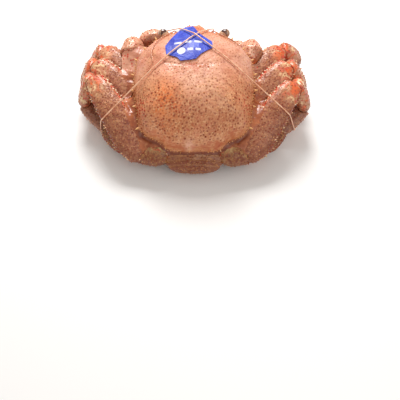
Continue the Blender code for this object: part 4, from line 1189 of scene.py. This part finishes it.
# The dark band of each eye, as its middle and half-width in mm, outwards from the ball's own middle.
EYE_DARK_OFF, EYE_DARK_HALF = -0.9, 2.7
for side, sign in (("left", -1), ("right", 1)):
    stalk = shell_of(f"eye_{side}", voxel=0.5, rounds=8, swell=-0.05, rough=0.06)
    fit(stalk, stalk_paint)
    place = to_world(np.array([EYE_PLACE]) * (sign, 1, 1))[0]
    bpy.ops.mesh.primitive_uv_sphere_add(segments=48, ring_count=32, radius=EYE_RADIUS * MM, location=place)
    eye = bpy.context.object
    eye.name = f"eye_{side}_ball"
    eye.scale = (1.08, 0.95, 0.95)
    bpy.ops.object.transform_apply(location=True, rotation=True, scale=True)
    points = read_points(eye)[0]
    off = sign * (points[:, 0] - place[0]) / MM - EYE_DARK_OFF + 0.25 * unevenness(points, 1.5, 3)
    set_masks(eye, {"dark": step(np.abs(off), EYE_DARK_HALF, EYE_DARK_HALF - 0.5)})
    bpy.ops.object.shade_smooth()
    fit(eye, ball_paint)


# Feelers. Thin jointed whips on a thicker foot. They come from under the front edge and lie back over it.

feeler = Paint("feeler", coat=0.2)
bands = feeler.node("TexWave", {"wave_type": "BANDS", "bands_direction": "DIAGONAL"},
                    {"Vector": feeler.place, "Scale": 180.0, "Distortion": 1.0})
feeler.ground = feeler.mix(bands.climb(0.3, 0.7), (192, 116, 80), (212, 148, 110))
feeler_paint = feeler.finish(0.4, bands, 0.06)
# Where a feeler's foot is, how far round it the foot is thicker and by how much, in mm.
FEELER_FOOT, FOOT_REACH, FOOT_SWELL = (11, 53, -7), 9, 0.7
for side, sign in (("left", -1), ("right", 1)):
    whip = copy_of(f"antenna_{side}", f"feeler_{side}")
    modify(whip, "SUBSURF", levels=2, render_levels=2)
    points, outward = read_points(whip)
    foot = to_world(np.array([FEELER_FOOT]) * (sign, 1, 1))[0]
    thicker = FOOT_SWELL * bell(np.linalg.norm(points - foot, axis=1) / MM, FOOT_REACH)
    write_points(whip, points + outward * (thicker * MM)[:, None])
    whip.data.shade_smooth()
    fit(whip, feeler_paint)


# Label. A sheet of blue plastic film, cut by hand, under the ties on the front of the shell.
# It is printed with plain white bars and a dot, and it is creased where it bends over the dome.

# The printed shapes: bars, as the middle, half-width and half-height of each in mm, seen from above, and
# a dot, as its middle and radius.
BARS = ((-13.2, 13.2, 3.4, 1.3), (-4.2, 13.2, 2.8, 1.3), (4.4, 13.2, 3.6, 1.3), (-2.4, 4.6, 2.6, 1.5),
        (4.2, 4.4, 2.4, 1.3))
DOT = (-10.2, 3.6, 3.7)
label = copy_of("label", "label_film")
shape = bmesh.new()
shape.from_mesh(label.data)
bmesh.ops.subdivide_edges(shape, edges=shape.edges, cuts=3, use_grid_fill=True)
shape.to_mesh(label.data)
shape.free()
film = Paint("label_film", coat=0.1, coat_roughness=0.2, specular=0.3)
crease = film.noise(6, 3, 0.6, 1.2)
film.ground = film.mix(crease.climb(0.4, 0.6), (28, 48, 168), (48, 72, 192))
sideways, forwards = (film.node("SeparateXYZ", {}, {0: film.place}, axis) for axis in (0, 1))
across, upward, edge = sideways - DOT[0] * MM, forwards - DOT[1] * MM, (DOT[2] * MM) ** 2
printed = (across * across + upward * upward).climb(edge, edge * 0.85)
for x, y, half_width, half_height in BARS:
    across = (sideways - x * MM).size().climb(half_width * MM, half_width * 0.85 * MM)
    upward = (forwards - y * MM).size().climb(half_height * MM, half_height * 0.75 * MM)
    printed = printed + across * upward
worn = film.noise(1.6, 3, 0.6).climb(0.36, 0.46)
film.lay(printed * (0.6 + 0.4 * worn), (214, 214, 228))
fit(label, film.finish(0.42, crease, 0.9))


# Ties. Two stretched loops of pale elastic cross over the shell and pass under the folded legs.

elastic = Paint("elastic", coat=0.2)
elastic.ground = elastic.mix(elastic.noise(3, 2).climb(0.35, 0.65), (232, 164, 126), (248, 200, 166))
elastic_paint = elastic.finish(0.36, elastic.noise(0.5, 2), 0.05)
for side in ("left", "right"):
    tie = copy_of(f"tie_{side}", f"tie_{side}_band")
    bpy.ops.object.select_all(action="DESELECT")
    tie.select_set(True)
    bpy.ops.object.shade_smooth_by_angle(angle=math.radians(70))
    fit(tie, elastic_paint)


# Floor. A pale matt sheet that only shows the shadow.

bpy.ops.mesh.primitive_plane_add(size=6, location=(0, 0, -0.0004))
floor = bpy.context.object
floor.name = "floor"
sheet = Paint("floor")
sheet.ground = screen(244, 243, 242)
floor.data.materials.append(sheet.finish(0.7))
